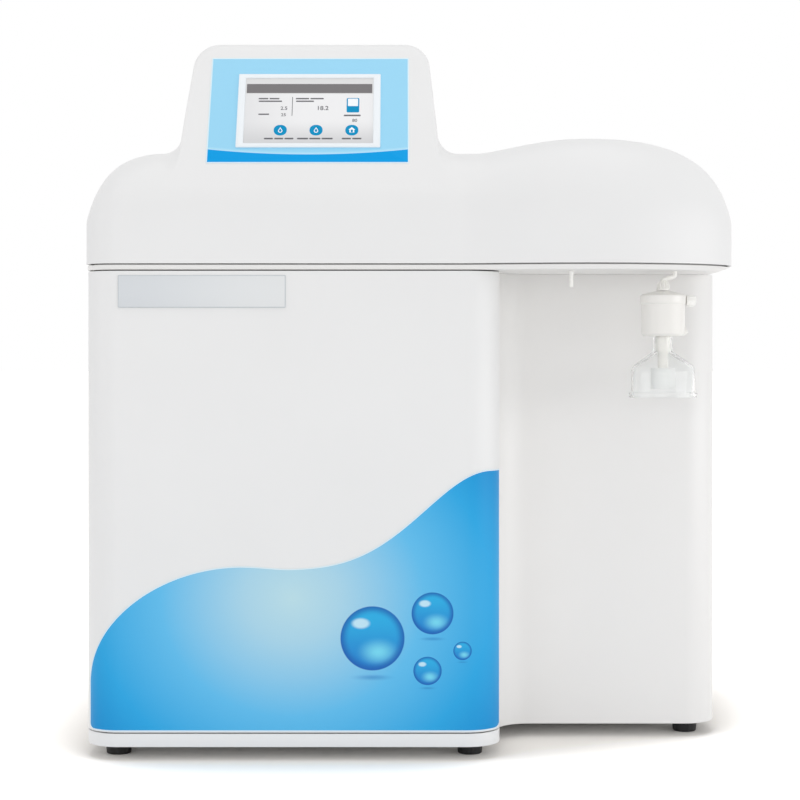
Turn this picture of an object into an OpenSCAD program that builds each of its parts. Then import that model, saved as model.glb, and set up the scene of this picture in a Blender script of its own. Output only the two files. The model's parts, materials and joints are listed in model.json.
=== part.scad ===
// Bench-top ultrapure water system. A moulded white casing holds four twist-lock cartridges behind a
// hinged door, with pumps, a reverse osmosis housing and an ultraviolet chamber behind them. The top
// cover carries a tilted touch display and bulges forward over a dispensing bay, where a final filter
// with a clear bell hangs. Millimetres, +X right, +Y to the back, +Z up, origin on the bench.

/* [Cabinet] */
// Overall width, at the top cover
cover_w = 530; // [516:2:560]
// Depth of the cabinet, from the door's face to the back panel
body_d = 390; // [384:2:430]
// Height of the rubber feet
foot_h = 11; // [8:1:14]
// Diameter of a rubber foot
foot_d = 20; // [16:1:24]
// Height of the base tray's front lip
tray_h = 10.5; // [10:0.5:14]
// Height of the front door
door_h = 369.5; // [364:0.5:400]
// Thickness of the deck plate under the top cover
deck_t = 5; // [4:0.5:7]
// Gap along each seam of the casing
seam = 1; // [0.8:0.1:1.4]
// Outer radius of the casing's upright corners
corner_r = 28; // [22:1:32]
// Thickness of the sheet-metal side and back panels
sheet = 2.5; // [2:0.25:3]
// Thickness of the inner sheet-metal parts
plate_t = 2; // [1.5:0.25:2.5]
// How far the top cover stands out past the left side
left_lip = 1.5; // [1:0.25:3]
// How far the top cover stands out past the right side
right_lip = 5; // [3:0.25:7]

/* [Dispensing bay] */
// From the middle of the cabinet to the bay's left wall
bay_x = 71; // [68:1:76]
// How far the bay's wall lies behind the door's face
bay_depth = 95; // [85:1:98]
// How far the canopy bulges out past the door's face
canopy_bulge = 14; // [8:1:14]
// Plan depth of the canopy's right-hand curve
canopy_turn = 60; // [40:2:70]
// From the middle of the cabinet to the furthest point of the bulge
canopy_x = 142; // [132:2:150]

/* [Top cover] */
// Wall thickness of the moulded top cover
cover_wall = 3; // [2.5:0.25:3.5]
// Height of the cover's upright wall
wall_h = 33; // [28:1:40]
// Radius of the cover's long front and left top edges
edge_r = 60; // [52:1:64]
// Depth of the rounding along the cover's back edge
back_edge = 40; // [25:1:50]
// How far the right-hand dome rises above the flat top
dome_rise = 11; // [6:1:18]

/* [Display hump] */
// From the cover's left end to the middle of the hump
hump_from_left = 181; // [174:0.5:186]
// Width of the hump at half its height
hump_w = 203.5; // [194:0.5:208]
// Height of the hump above the flat top
hump_h = 96; // [88:1:104]
// Tilt of the display face back from upright, in degrees
hump_tilt = 30; // [26:1:34]
// Draft of the hump's sides, in degrees
hump_draft = 6; // [4:1:9]
// Radius of the hump's top corners, seen from the front
hump_corner = 21; // [15:1:24]
// Radius of the hollow where the hump's sides meet the top
hump_foot = 17; // [12:1:22]
// Where the hump's rear slope ends, behind the door's face
hump_back = 245; // [220:5:260]
// Width of the blue label round the display
label_w = 165; // [158:1:168]
// Height of the label along the face
label_h = 108; // [102:1:112]
// Width of the screen's white frame
bezel_w = 118; // [112:1:122]
// Height of the screen's white frame
bezel_h = 75; // [72:1:80]
// Width of the visible screen
screen_w = 106; // [98:1:108]
// Height of the visible screen
screen_h = 67; // [60:1:68]
// From the face's foot up to the middle of the label
label_up = 65.5; // [64:0.5:67]
// How far the middle of the screen lies below the middle of the label
screen_drop = 1.2; // [0:0.2:3]

/* [Door] */
// Wall thickness of the moulded door
door_skin = 3; // [2.5:0.25:3.5]
// How far the door's sides reach back
door_side = 30; // [28.5:0.5:31]
// From the door's left face to the hinge pin
hinge_in = 9; // [8.5:0.25:10]
// From the door's front face to the hinge pin
hinge_back = 42; // [41:0.5:44]
// Diameter of the hinge pins
pin_d = 6; // [5:0.5:6]
// Thickness of the hinge tongues
tongue_t = 3; // [2.5:0.25:3.5]
// Width of the plain plate on the door
badge_w = 134; // [110:2:150]
// Height of the plain plate on the door
badge_h = 26; // [20:1:30]

/* [Cartridges] */
// Gap between neighbouring cartridges
cart_gap = 12; // [12:1:18]
// Height of a cartridge below its neck
cart_h = 285; // [240:5:288]
// Free width at the row's left end, beside the hinge
row_left = 7.5; // [6:0.5:10]
// Free width at the row's right end, beside the bay's wall
row_right = 4; // [4:0.5:8]
// From the door's face to the cartridge row
cart_back = 100; // [97:1:104]
// Diameter of a cartridge's neck
neck_d = 50; // [44:1:52]
// Turn that frees a cartridge from its head, in degrees
cart_turn = 60; // [50:5:70]
// Height of a cartridge head
head_h = 26; // [26:1:30]

/* [Plumbing] */
// Outer diameter of the tubing
tube_d = 6.35; // [4:0.05:8]
// Bend radius of the tubing
tube_bend = 14; // [13:1:16]
// Diameter of the reverse osmosis housing
ro_d = 72; // [60:1:76]
// Diameter of the ultraviolet chamber
uv_d = 52; // [44:1:54]
// Diameter of the booster pump's motor
pump_d = 62; // [54:1:66]
// Bore of the rear connectors
port_bore = 6.4; // [6:0.05:8]
// How far the rear connectors stand out of the back panel
port_out = 14; // [12:1:16]

/* [Final filter] */
// From the cover's right end to the filter's axis
filter_in = 59.3; // [57:0.1:69]
// From the door's face to the filter's axis
filter_back = 38; // [34:1:44]
// Diameter of the filter capsule
capsule_d = 37.4; // [32:0.5:40]
// Height of the filter capsule
capsule_h = 37; // [33:0.5:40]
// Outer diameter of the bell
bell_d = 52; // [44:1:56]
// Height of the bell's straight wall
bell_wall_h = 20; // [16:1:24]
// Wall thickness of the bell
bell_t = 1.6; // [1.2:0.1:2]
// Diameter of the pure water nozzle
nozzle_d = 3.2; // [2.4:0.2:5]
// From the cover's right end to the pure water nozzle
nozzle_in = 134.5; // [125:0.5:145]

/* [Hidden] */
$fn = 48;

// clearances
fit = 0.1;        // round a pin or a screw
seat = 0.3;       // between parts that seat without a fit
eps = 0.01;

// places across the cabinet
cover_left = -cover_w / 2;
cover_right = cover_w / 2;
x_l = cover_left + left_lip;
x_r = cover_right - right_lip;
y_f = -body_d / 2;
y_b = body_d / 2;
function back(d) = y_f + d;
panel_start = door_side + 3;
landing = 12;
filter_x = cover_right - filter_in;
nozzle_x = cover_right - nozzle_in;
in_l = x_l + sheet;
in_r = x_r - sheet;
in_b = y_b - sheet;

// levels
floor_z = foot_h + plate_t;
lip_top = foot_h + tray_h;
door_z0 = lip_top + seam;
door_z1 = door_z0 + door_h;
deck_z0 = door_z1 + seam;
deck_z1 = deck_z0 + deck_t;
wall_top = deck_z1 + wall_h;
crest_z = wall_top + edge_r;
hump_x = cover_left + hump_from_left;
hump_top = crest_z + hump_h;

// cartridge row: four equal places between the hinge and the bay's wall
cart_pitch = (bay_x - row_right - x_l - row_left) / 4;
cart_d = cart_pitch - cart_gap;
shelf_z = deck_z0 - 48;
head_z = shelf_z - head_h;
cart_top = head_z - seam;
stub_z = shelf_z + 9;
stub_d = 12;
boss_d = 28;
stub_reach = 26;
function cart_x(i) = x_l + row_left + (i + 0.5) * cart_pitch;
cart_y = back(cart_back);

// chassis, behind the cartridges and the bay
chassis_y = back(bay_depth + 55);
chassis_back = chassis_y + plate_t;

// hinge
hinge_x = x_l + hinge_in;
hinge_y = back(hinge_back);
tongue_r = hinge_in - sheet - 0.5;
tongue_z0 = door_z0 + 2.5;
tongue_z1 = door_z1 - 3 - tongue_t;

// ---------- plan shapes ----------

module box(x0, x1, y0, y1, z0, z1) {
    translate([x0, y0, z0]) cube([x1 - x0, y1 - y0, z1 - z0]);
}

module area(x0, x1, y0, y1) {
    translate([x0, y0]) square([x1 - x0, y1 - y0]);
}

module rod(x, y, z0, z1, d) {
    translate([x, y, z0]) cylinder(d = d, h = z1 - z0);
}

module rounded_area(x0, x1, y0, y1, r) {
    area(x0 + r, x1 - r, y0, y1);
    area(x0, x1, y0 + r, y1 - r);
    for (x = [x0 + r, x1 - r], y = [y0 + r, y1 - r]) translate([x, y]) circle(r);
}

// outline of the lower body behind the door, drawn in by i
module body_plan(i) {
    area(x_l + i, bay_x - i, back(panel_start) - (i > 0 ? 1 : 0), y_b - corner_r);
    rounded_area(x_l + i, x_r - i, back(bay_depth) + i, y_b - i, corner_r - i);
    // the hollow corner between the bay's left wall and its back wall
    difference() {
        area(bay_x - i - eps, bay_x + corner_r, back(bay_depth - corner_r), back(bay_depth) + i + eps);
        translate([bay_x + corner_r, back(bay_depth - corner_r)]) circle(corner_r + i);
    }
}

module body_skin(z0, z1) {
    translate([0, 0, z0]) linear_extrude(z1 - z0) difference() {
        body_plan(0);
        body_plan(sheet);
    }
}

// outline of the door, drawn in by i, open at its back edge
module door_plan(i, depth) {
    r = corner_r - i;
    area(x_l + i + r, bay_x - i - r, y_f + i, back(depth));
    area(x_l + i, bay_x - i, y_f + i + r, back(depth));
    for (x = [x_l + i + r, bay_x - i - r]) intersection() {
        translate([x, y_f + i + r]) circle(r);
        area(x - r, x + r, y_f + i, back(depth));
    }
}

// ---------- the moulded top cover ----------

// the canopy leaves the flat front, and the dome the flat top, with a soft crease: 0 there, 1 at canopy_x
bulge_from = bay_x - 33;
dome_from = bay_x - 17;
crease = 0.1;
function swell(x, from) = let (u = (x - from) / (canopy_x - from))
    sin(90 * (sqrt(u * u + crease * crease) - crease) / (sqrt(1 + crease * crease) - crease));

// front edge of the cover's plan at x, drawn in by k
function corner_run(u, r, k) = (r - k) * sqrt(max(0, 1 - pow(max(0, u) / (r - k), 2)));
function front_edge(x, k) =
    x < cover_left + corner_r ? y_f + corner_r - corner_run(cover_left + corner_r - x, corner_r, k) :
    x < bulge_from ? y_f + k :
    x < canopy_x ? y_f + k - canopy_bulge * swell(x, bulge_from) :
    y_f + canopy_turn - (canopy_turn + canopy_bulge - k)
        * sqrt(max(0, 1 - pow((x - canopy_x) / (cover_right - k - canopy_x), 2)));
function back_edge_at(x, k) = y_b - corner_r
    + corner_run(max(cover_left + corner_r - x, x - cover_right + corner_r), corner_r, k);

// height of the plain top above the upright wall at x
dome_power = 2.5;
shoulder_power = 2.2;
function plain_rise(x, k) = let (r = edge_r - k)
    x < cover_left + edge_r ?
        r * pow(max(0, 1 - pow((cover_left + edge_r - x) / r, shoulder_power)), 1 / shoulder_power) :
    x < dome_from ? r :
    x < canopy_x ? r + dome_rise * swell(x, dome_from) :
    (r + dome_rise) * pow(max(0, 1 - pow((x - canopy_x) / (cover_right - k - canopy_x), dome_power)),
        1 / dome_power);

// the hump's outline seen from the front: half widths where its corner, side and foot begin
function hump_half(h, k) = hump_w / 2 - k + (hump_h / 2 - h) * tan(hump_draft);
function corner_start(k) = hump_half(hump_h - (hump_corner - k) * (1 - sin(hump_draft)), k)
    - (hump_corner - k) * cos(hump_draft);
function foot_end(k) = hump_half((hump_foot + k) * (1 - sin(hump_draft)), k)
    + (hump_foot + k) * cos(hump_draft);
function hump_rise(x, k) = let (o = abs(x - hump_x), c = hump_corner - k, f = hump_foot + k,
        o1 = corner_start(k), o2 = foot_end(k))
    o <= o1 ? hump_h :
    o <= o1 + c * cos(hump_draft) ? hump_h - c + sqrt(c * c - pow(o - o1, 2)) :
    o < o2 - f * cos(hump_draft) ? hump_h / 2 + (hump_w / 2 - k - o) / tan(hump_draft) :
    o < o2 ? f - sqrt(f * f - pow(o2 - o, 2)) : 0;

// section of the cover from front to back at x: a list of [y, z]
turn_min = 14;
turn_flat = edge_r - 8;
function section(x, k) = let (
    r = edge_r - k,
    w = hump_rise(x, k) / hump_h,
    turn = (turn_min - k) + (turn_flat - turn_min) * pow(1 - w, 3),
    y0 = front_edge(x, k), y1 = back_edge_at(x, k),
    scale = plain_rise(x, k) / r,
    a = 90 - hump_tilt,
    d0 = r * (1 - cos(hump_tilt)), z0 = r * sin(hump_tilt),
    top = r + hump_rise(x, k),
    run = (top - z0 - turn * (1 - cos(a))) / sin(a),
    d1 = d0 + run * cos(a), z1 = z0 + run * sin(a),
    d2 = d1 + turn * sin(a),
    d3 = hump_back - k,
    b = back_edge - k,
    line = concat(
        [for (t = [0, hump_tilt / 3, hump_tilt * 2 / 3, hump_tilt]) [y0 + r * (1 - cos(t)), r * sin(t)]],
        [for (i = [1 : 3]) [y0 + d0 + (d1 - d0) * i / 3, z0 + (z1 - z0) * i / 3]],
        [for (t = [0.25, 0.5, 0.75, 1]) [y0 + d1 + turn * (sin(a) - sin(a * (1 - t))),
            z1 + turn * (cos(a * (1 - t)) - cos(a))]],
        [for (i = [1 : 7]) [y0 + d2 + (d3 - d2) * i / 7, r + (top - r) * (1 + cos(180 * i / 7)) / 2]],
        [for (t = [90, 65, 42, 20, 0]) [y1 - b * (1 - cos(t)), r * sin(t)]]))
    concat([[y0, deck_z1]], [for (p = line) [p[0], wall_top + p[1] * scale]], [[y1, deck_z1]]);

// stations across the cover, closest where it curves most
function sorted(v) = len(v) < 2 ? v : let (m = v[floor(len(v) / 2)])
    concat(sorted([for (a = v) if (a < m) a]), [m], sorted([for (a = v) if (a > m) a]));
function stations(k) = let (o1 = corner_start(k), o2 = foot_end(k), f = hump_foot + k,
        c = hump_corner - k, right = cover_right - k,
        side = concat([for (t = [0, 0.35, 0.62, 0.85, 1]) o2 - f * cos(hump_draft) * (1 - t)],
            [for (t = [0, 30, 52, 70, 84]) o1 + c * sin(t)]))
    sorted(concat([for (t = [0 : 11.25 : 80]) cover_left + k + (edge_r - k) * (1 - cos(t))],
        [for (s = [-1, 1], o = side) hump_x + s * o], [hump_x],
        [for (i = [0 : 6]) bulge_from + (canopy_x - bulge_from) * pow(i / 6, 1.3)], [dome_from],
        [for (t = [12 : 12 : 72]) canopy_x + (right - canopy_x) * sin(t)],
        [canopy_x + (right - canopy_x) * sin(81), right]));

// closed shell between an outer and an inner surface of the same grid
module cover_shell() {
    outer = [for (x = stations(0)) [for (p = section(x, 0)) [x, p[0], p[1]]]];
    inner = [for (x = stations(cover_wall)) [for (p = section(x, cover_wall)) [x, p[0], p[1]]]];
    m = len(outer);
    n = len(outer[0]);
    points = [for (row = concat(outer, inner), p = row) p];
    function at(i, j) = i * n + j;
    function in_at(i, j) = (m + i) * n + j;
    faces = concat(
        [for (i = [0 : m - 2], j = [0 : n - 2]) each [[at(i, j), at(i, j + 1), at(i + 1, j + 1)],
            [at(i, j), at(i + 1, j + 1), at(i + 1, j)]]],
        [for (i = [0 : m - 2], j = [0 : n - 2]) each [[in_at(i, j), in_at(i + 1, j + 1), in_at(i, j + 1)],
            [in_at(i, j), in_at(i + 1, j), in_at(i + 1, j + 1)]]],
        [[for (j = [n - 1 : -1 : 0]) at(0, j)], [for (j = [0 : n - 1]) at(m - 1, j)]],
        [[for (j = [0 : n - 1]) in_at(0, j)], [for (j = [n - 1 : -1 : 0]) in_at(m - 1, j)]],
        [for (i = [0 : m - 2]) each [[at(i, 0), at(i + 1, 0), in_at(i + 1, 0)],
            [at(i, 0), in_at(i + 1, 0), in_at(i, 0)]]],
        [for (i = [0 : m - 2]) each [[at(i, n - 1), in_at(i + 1, n - 1), at(i + 1, n - 1)],
            [at(i, n - 1), in_at(i, n - 1), in_at(i + 1, n - 1)]]],
        [[at(0, 0), in_at(0, 0), in_at(0, n - 1)], [at(0, 0), in_at(0, n - 1), at(0, n - 1)]],
        [[at(m - 1, 0), in_at(m - 1, n - 1), in_at(m - 1, 0)],
            [at(m - 1, 0), at(m - 1, n - 1), in_at(m - 1, n - 1)]]);
    polyhedron(points, faces, convexity = 8);
}

// places a child on the tilted display face: x across, z up the face, y straight in
label_x = hump_x - 1;
label_z = wall_top + edge_r * sin(hump_tilt) + label_up;
label_y = back(edge_r * (1 - cos(hump_tilt)) + label_up * tan(hump_tilt));
module on_face() {
    translate([label_x, label_y, label_z]) rotate([-hump_tilt, 0, 0]) children();
}
module on_screen() {
    on_face() translate([0, 0, -screen_drop]) children();
}

module face_box(w, h, y0, y1) {
    translate([-w / 2, y0, -h / 2]) cube([w, y1 - y0, h]);
}

module top_cover() {
    color("white") difference() {
        cover_shell();
        on_screen() face_box(bezel_w - 4, bezel_h - 4, -2, cover_wall * 2 + 2);
    }
}

// plan of the deck plate: the cover's own outline, drawn in a little
deck_inset = 1;
module deck_plan() {
    xs = stations(deck_inset);
    polygon(concat([for (x = xs) [x, front_edge(x, deck_inset)]],
        [for (i = [len(xs) - 1 : -1 : 0]) [xs[i], back_edge_at(xs[i], deck_inset)]]));
}

deck_tube_x = filter_x - 6;
spout_x = filter_x + 9.5;
nozzle_step = 1.6;
module deck_plate() {
    color("whitesmoke") difference() {
        translate([0, 0, deck_z0]) linear_extrude(deck_t) deck_plan();
        rod(hinge_x, hinge_y, deck_z0 - 1, deck_z1 + 1, pin_d + 2 * fit);
        rod(deck_tube_x, uv_y, deck_z0 - 1, deck_z1 + 1, tube_d + 5);
        rod(nozzle_x, back(filter_back), deck_z0 - 1, deck_z1 + 1, nozzle_d + nozzle_step + 2 * fit);
        rod(spout_x, back(filter_back), deck_z0 - 1, deck_z1 + 1, nipple_d + 2 * fit);
    }
}

// ---------- door ----------

flange_back = door_side - 3;
rib_t = 2;
module front_door() {
    color("white") difference() {
        union() {
            translate([0, 0, door_z0]) linear_extrude(door_h) difference() {
                door_plan(0, door_side);
                door_plan(door_skin, door_side + 1);
            }
            for (z = [tongue_z0, tongue_z1]) {
                translate([0, 0, z]) linear_extrude(tongue_t) door_plan(door_skin - eps, flange_back);
                box(hinge_x - tongue_r, hinge_x + tongue_r, back(flange_back) - 1, hinge_y,
                    z, z + tongue_t);
                rod(hinge_x, hinge_y, z, z + tongue_t, 2 * tongue_r);
            }
            // stiffening ribs down the inside
            for (i = [1 : 3]) let (x = x_l + i * (bay_x - x_l) / 4)
                box(x - rib_t / 2, x + rib_t / 2, back(door_skin) - 1, back(14), tongue_z0, tongue_z1 + 1);
        }
        rod(hinge_x, hinge_y, tongue_z0 - 1, tongue_z1 + tongue_t + 1, pin_d + 2 * fit);
    }
}

// printed film over the door's lower part, cut along a wave
film_t = 0.3;
film_gap = 0.03;
film_foot = 1;
film_corner = 4;
film_x0 = x_l + 3.5;
film_x1 = bay_x - 0.5;
function ease(t) = (1 - cos(180 * min(1, max(0, t)))) / 2;
// height of the wave above the door's foot, at a share u of the film's width
function wave(u) = door_h * (0.1 + 0.26 * sqrt(1 - pow(1 - min(1, u / 0.37), 1.91))
    - 0.006 * ease((u - 0.37) / 0.13) + 0.214 * ease(pow(max(0, (u - 0.42) / 0.555), 1.69)));
module door_film() {
    z0 = door_z0 + film_foot;
    w = film_x1 - film_x0;
    function turned(a) = film_corner * (1 - a);
    left = [for (a = [0 : 30 : 90]) [film_x0 + turned(sin(a)), z0 + turned(cos(a))]];
    right = [for (a = [90 : -30 : 0]) [film_x1 - turned(sin(a)), z0 + turned(cos(a))]];
    top = [for (i = [0 : 40]) let (u = pow(i / 40, 1.4)) [film_x0 + w * u, door_z0 + wave(u)]];
    color("deepskyblue") intersection() {
        translate([0, 0, z0]) linear_extrude(door_h) difference() {
            door_plan(-film_gap - film_t, door_side);
            door_plan(-film_gap, door_side + 1);
        }
        translate([0, back(door_side), 0]) rotate([90, 0, 0]) linear_extrude(door_side + 5)
            polygon(concat(left, top, right));
    }
}

badge_x0 = x_l + 28;
badge_top = door_z1 - 3.5;
module badge_plate() {
    color("lightgray") box(badge_x0, badge_x0 + badge_w, y_f - 1, y_f, badge_top - badge_h, badge_top);
}

module hinge_pins() {
    color("silver") {
        // upper pin hangs by its head on the deck plate
        rod(hinge_x, hinge_y, tongue_z1 - 1, deck_z1 + eps, pin_d);
        rod(hinge_x, hinge_y, deck_z1, deck_z1 + 2, pin_d + 4);
        // lower pin has a shoulder that carries the door
        rod(hinge_x, hinge_y, floor_z, tongue_z0 - seat, pin_d + 2);
        rod(hinge_x, hinge_y, tongue_z0 - seat - eps, tongue_z0 + tongue_t + 1, pin_d);
    }
}

catch_z = [door_z0 + door_h * 0.2, door_z0 + door_h * 0.8];
catch_w = 14;
module catch_magnets() {
    color("dimgray") for (z = catch_z)
        box(bay_x - sheet - catch_w, bay_x - sheet, back(panel_start + 1), back(panel_start + 15),
            z - 10, z + 10);
}

module strike_plates() {
    color("silver") for (z = catch_z)
        box(bay_x - door_skin - catch_w, bay_x - door_skin, back(flange_back), back(panel_start + 0.5),
            z - 10, z + 10);
}

// ---------- panels ----------

joint_l = x_l + corner_r + landing;
joint_r = x_r - corner_r - landing;
module left_panel() {
    color("white") difference() {
        intersection() {
            body_skin(foot_h, deck_z0);
            box(x_l - 1, joint_l - seam / 2, back(panel_start), y_b + 1, foot_h, deck_z0);
        }
        // slots that let the hinge tongues swing out
        for (z = [tongue_z0, tongue_z1])
            box(x_l - 1, in_l + 1, back(panel_start) - 1, hinge_y + tongue_r + 4.5,
                z - 1.5, z + tongue_t + 1.5);
    }
}

module right_panel() {
    color("white") difference() {
        body_skin(foot_h, deck_z0);
        box(x_l - 1, 0, y_f - 1, y_b + 1, 0, deck_z0 + 1);
        box(-1, joint_r + seam / 2, y_b - corner_r, y_b + 1, 0, deck_z0 + 1);
    }
}

port_x = [100, 60, 20, -20];
port_z = [60, 36, 90, 50];
thread_d = 14;
inlet_x = x_l + 113.5;
inlet_z = 75;
inlet_cut_w = 27.4;
inlet_cut_h = 20;
switch_x = inlet_x + 48;
switch_w = 13;
switch_h = 20;
slot_in = 36;
slot_w = 72;
module back_panel() {
    color("white") difference() {
        box(joint_l + seam / 2, joint_r - seam / 2, in_b, y_b, foot_h, deck_z0);
        for (i = [0 : 3]) translate([port_x[i], y_b + 1, port_z[i]]) rotate([90, 0, 0])
            cylinder(d = thread_d + 2 * fit, h = sheet + 2);
        box(inlet_x - inlet_cut_w / 2, inlet_x + inlet_cut_w / 2, in_b - 1, y_b + 1,
            inlet_z - inlet_cut_h / 2, inlet_z + inlet_cut_h / 2);
        box(switch_x - switch_w / 2 - seat, switch_x + switch_w / 2 + seat, in_b - 1, y_b + 1,
            inlet_z - switch_h / 2 - seat, inlet_z + switch_h / 2 + seat);
        // two groups of cooling slots
        for (x = [joint_l + slot_in, joint_r - slot_in - slot_w], i = [0 : 9])
            box(x, x + slot_w, in_b - 1, y_b + 1, deck_z0 - 60 - 9 * i, deck_z0 - 56 - 9 * i);
    }
}

// ---------- base ----------

// feet: two at the front, one under the bay's wall and two at the back
foot_at = [[x_l + 24, back(32)], [bay_x - 24, back(32)], [x_r - 24, back(bay_depth + 28)],
    [x_l + 40, y_b - 40], [x_r - 40, y_b - 40]];
foot_bolt = 4;
upstand = 10;
module base_tray() {
    color("white") difference() {
        union() {
            translate([0, 0, foot_h]) linear_extrude(plate_t) {
                body_plan(sheet + seat);
                door_plan(1, panel_start - seat);
            }
            // front lip under the door
            translate([0, 0, foot_h]) linear_extrude(tray_h) difference() {
                door_plan(0, panel_start - seam);
                door_plan(door_skin, panel_start);
            }
            // folded edge inside the panels
            translate([0, 0, foot_h]) linear_extrude(upstand + plate_t) difference() {
                intersection() {
                    body_plan(sheet + seat);
                    area(x_l, x_r, back(panel_start), y_b);
                }
                body_plan(sheet + seat + plate_t);
            }
        }
        for (p = foot_at) rod(p[0], p[1], foot_h - 1, floor_z + 1, foot_bolt + 2 * fit);
        translate([hinge_x, hinge_y, floor_z]) cylinder(d = pin_d + 3, h = upstand + 1);
    }
}

module rubber_feet() {
    color("black") for (p = foot_at) translate([p[0], p[1], 0]) difference() {
        rotate_extrude() polygon([[0, 0], [foot_d / 2 - 1, 0], [foot_d / 2, 1],
            [foot_d / 2 + 0.6, foot_h - 2], [foot_d / 2 + 0.6, foot_h], [0, foot_h]]);
        translate([0, 0, -1]) cylinder(d = foot_bolt * 2 + 0.6, h = foot_h / 2 + 1);
        cylinder(d = foot_bolt + 2 * fit, h = foot_h + 1);
    }
}

module foot_screws() {
    color("silver") for (p = foot_at) {
        rod(p[0], p[1], foot_h / 2 - 3, foot_h / 2, foot_bolt * 2);
        rod(p[0], p[1], foot_h / 2 - eps, floor_z + eps, foot_bolt);
        rod(p[0], p[1], floor_z, floor_z + 3, foot_bolt * 2);
    }
}

// ---------- chassis ----------

tube_hole = tube_d + 4;
module chassis_plate() {
    x0 = in_l + 6;
    x1 = in_r - 6;
    color("lightgray") difference() {
        union() {
            box(x0, x1, chassis_y, chassis_back, floor_z, deck_z0);
            for (z = [floor_z, deck_z0 - plate_t])
                box(x0, x1, chassis_y, chassis_back + 16, z, z + plate_t);
        }
        for (i = [0 : 3]) translate([cart_x(i), chassis_y - 1, stub_z]) rotate([-90, 0, 0])
            cylinder(d = tube_hole, h = plate_t + 2);
        // wire passage
        translate([in_l + 22, chassis_y - 1, floor_z + 40]) rotate([-90, 0, 0])
            cylinder(d = 20, h = plate_t + 2);
        for (x = shelf_screw_x) translate([x, chassis_y - 1, shelf_z - 18]) rotate([-90, 0, 0])
            cylinder(d = screw_d + 2 * fit, h = plate_t + 2);
    }
}

post_w = 2 * landing;
module rear_posts() {
    color("lightgray") for (x = [joint_l, joint_r]) {
        box(x - post_w / 2, x + post_w / 2, in_b - plate_t, in_b, floor_z + upstand, deck_z0);
        box(x - plate_t / 2, x + plate_t / 2, in_b - 16, in_b - plate_t + eps, floor_z + upstand, deck_z0);
    }
}

screw_d = 4;
shelf_x0 = in_l + 6;
shelf_x1 = cart_x(3) + cart_d / 2 + 3;
shelf_screw_x = [cart_x(0) + cart_pitch / 2, cart_x(1) + cart_pitch / 2, cart_x(2) + cart_pitch / 2];
module head_shelf() {
    color("gainsboro") difference() {
        union() {
            box(shelf_x0, shelf_x1, cart_y - cart_d / 2, chassis_y, shelf_z, shelf_z + plate_t);
            box(shelf_x0, shelf_x1, chassis_y - plate_t, chassis_y, shelf_z - 30, shelf_z + plate_t);
            // folded front edge
            box(shelf_x0, shelf_x1, cart_y - cart_d / 2 - plate_t, cart_y - cart_d / 2 + eps,
                shelf_z, shelf_z + 12);
        }
        for (i = [0 : 3]) rod(cart_x(i), cart_y, shelf_z - 1, shelf_z + plate_t + 1, boss_d + 2 * seat);
        for (x = shelf_screw_x) translate([x, chassis_y + 1, shelf_z - 18]) rotate([90, 0, 0])
            cylinder(d = screw_d + 2 * fit, h = plate_t + 2);
    }
}

module shelf_screws() {
    color("silver") for (x = shelf_screw_x) translate([x, chassis_y - plate_t, shelf_z - 18]) {
        rotate([90, 0, 0]) cylinder(d = 2 * screw_d, h = 3);
        translate([0, -eps, 0]) rotate([-90, 0, 0]) cylinder(d = screw_d, h = 2 * plate_t + 2 * eps);
        translate([0, 2 * plate_t, 0]) rotate([-90, 0, 0]) cylinder(d = 2 * screw_d, h = 3);
    }
}

// ---------- cartridges and heads ----------

lug_d = neck_d + 9;
lug_t = 5;
lip_t = 8;
lug_half = 18;
neck_h = head_h - lip_t;

module sector(r, half) {
    // a wedge of the plane about +Y
    polygon([[0, 0], [r * tan(-half), r], [r * tan(half), r]]);
}

// sides: which ways the head's stubs point, as angles from +X
module cartridge_head(i, sides) {
    color("steelblue") translate([cart_x(i), cart_y, head_z]) difference() {
        union() {
            cylinder(d = cart_d + 8, h = head_h);
            cylinder(d = boss_d, h = stub_z - head_z + stub_d / 2 + 2);
            for (a = sides) translate([0, 0, stub_z - head_z]) rotate([0, 90, a])
                cylinder(d = stub_d, h = stub_reach);
        }
        translate([0, 0, -1]) cylinder(d = neck_d + 2 * fit, h = neck_h + 2);
        translate([0, 0, lip_t]) cylinder(d = lug_d + 2 * seat, h = lug_t + 2 * seat);
        // slots that let the lugs in
        for (s = [0, 180]) rotate([0, 0, cart_turn + s]) translate([0, 0, -1]) intersection() {
            cylinder(d = lug_d + 2 * fit, h = lip_t + 2);
            linear_extrude(lip_t + 3) sector(lug_d, lug_half + 4);
        }
        // tube sockets
        for (a = sides) translate([0, 0, stub_z - head_z]) rotate([0, 90, a])
            translate([0, 0, boss_d / 2]) cylinder(d = tube_d / 2, h = stub_reach);
    }
}

module cartridge(i, tint) {
    grip_h = 16;
    z0 = cart_top - cart_h;
    r = cart_d / 2;
    color(tint) translate([cart_x(i), cart_y, 0]) {
        difference() {
            translate([0, 0, z0]) rotate_extrude() polygon([[0, 2], [r - 4, 0], [r, 4], [r + 0.5, 6],
                [r + 0.5, grip_h], [r - 1, grip_h + 2], [r - 1, cart_h - 10], [r - 4, cart_h - 3],
                [neck_d / 2, cart_h], [0, cart_h]]);
            for (a = [0 : 24 : 359]) rotate([0, 0, a]) translate([r + 1.6, 0, z0 - 1])
                cylinder(d = 5, h = grip_h);
        }
        translate([0, 0, cart_top - eps]) cylinder(d = neck_d, h = seam + lip_t + lug_t + 2);
        // bayonet lugs
        for (s = [0, 180]) rotate([0, 0, s]) translate([0, 0, head_z + lip_t + seat]) intersection() {
            cylinder(d = lug_d, h = lug_t);
            linear_extrude(lug_t) sector(lug_d, lug_half);
        }
    }
}

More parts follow.
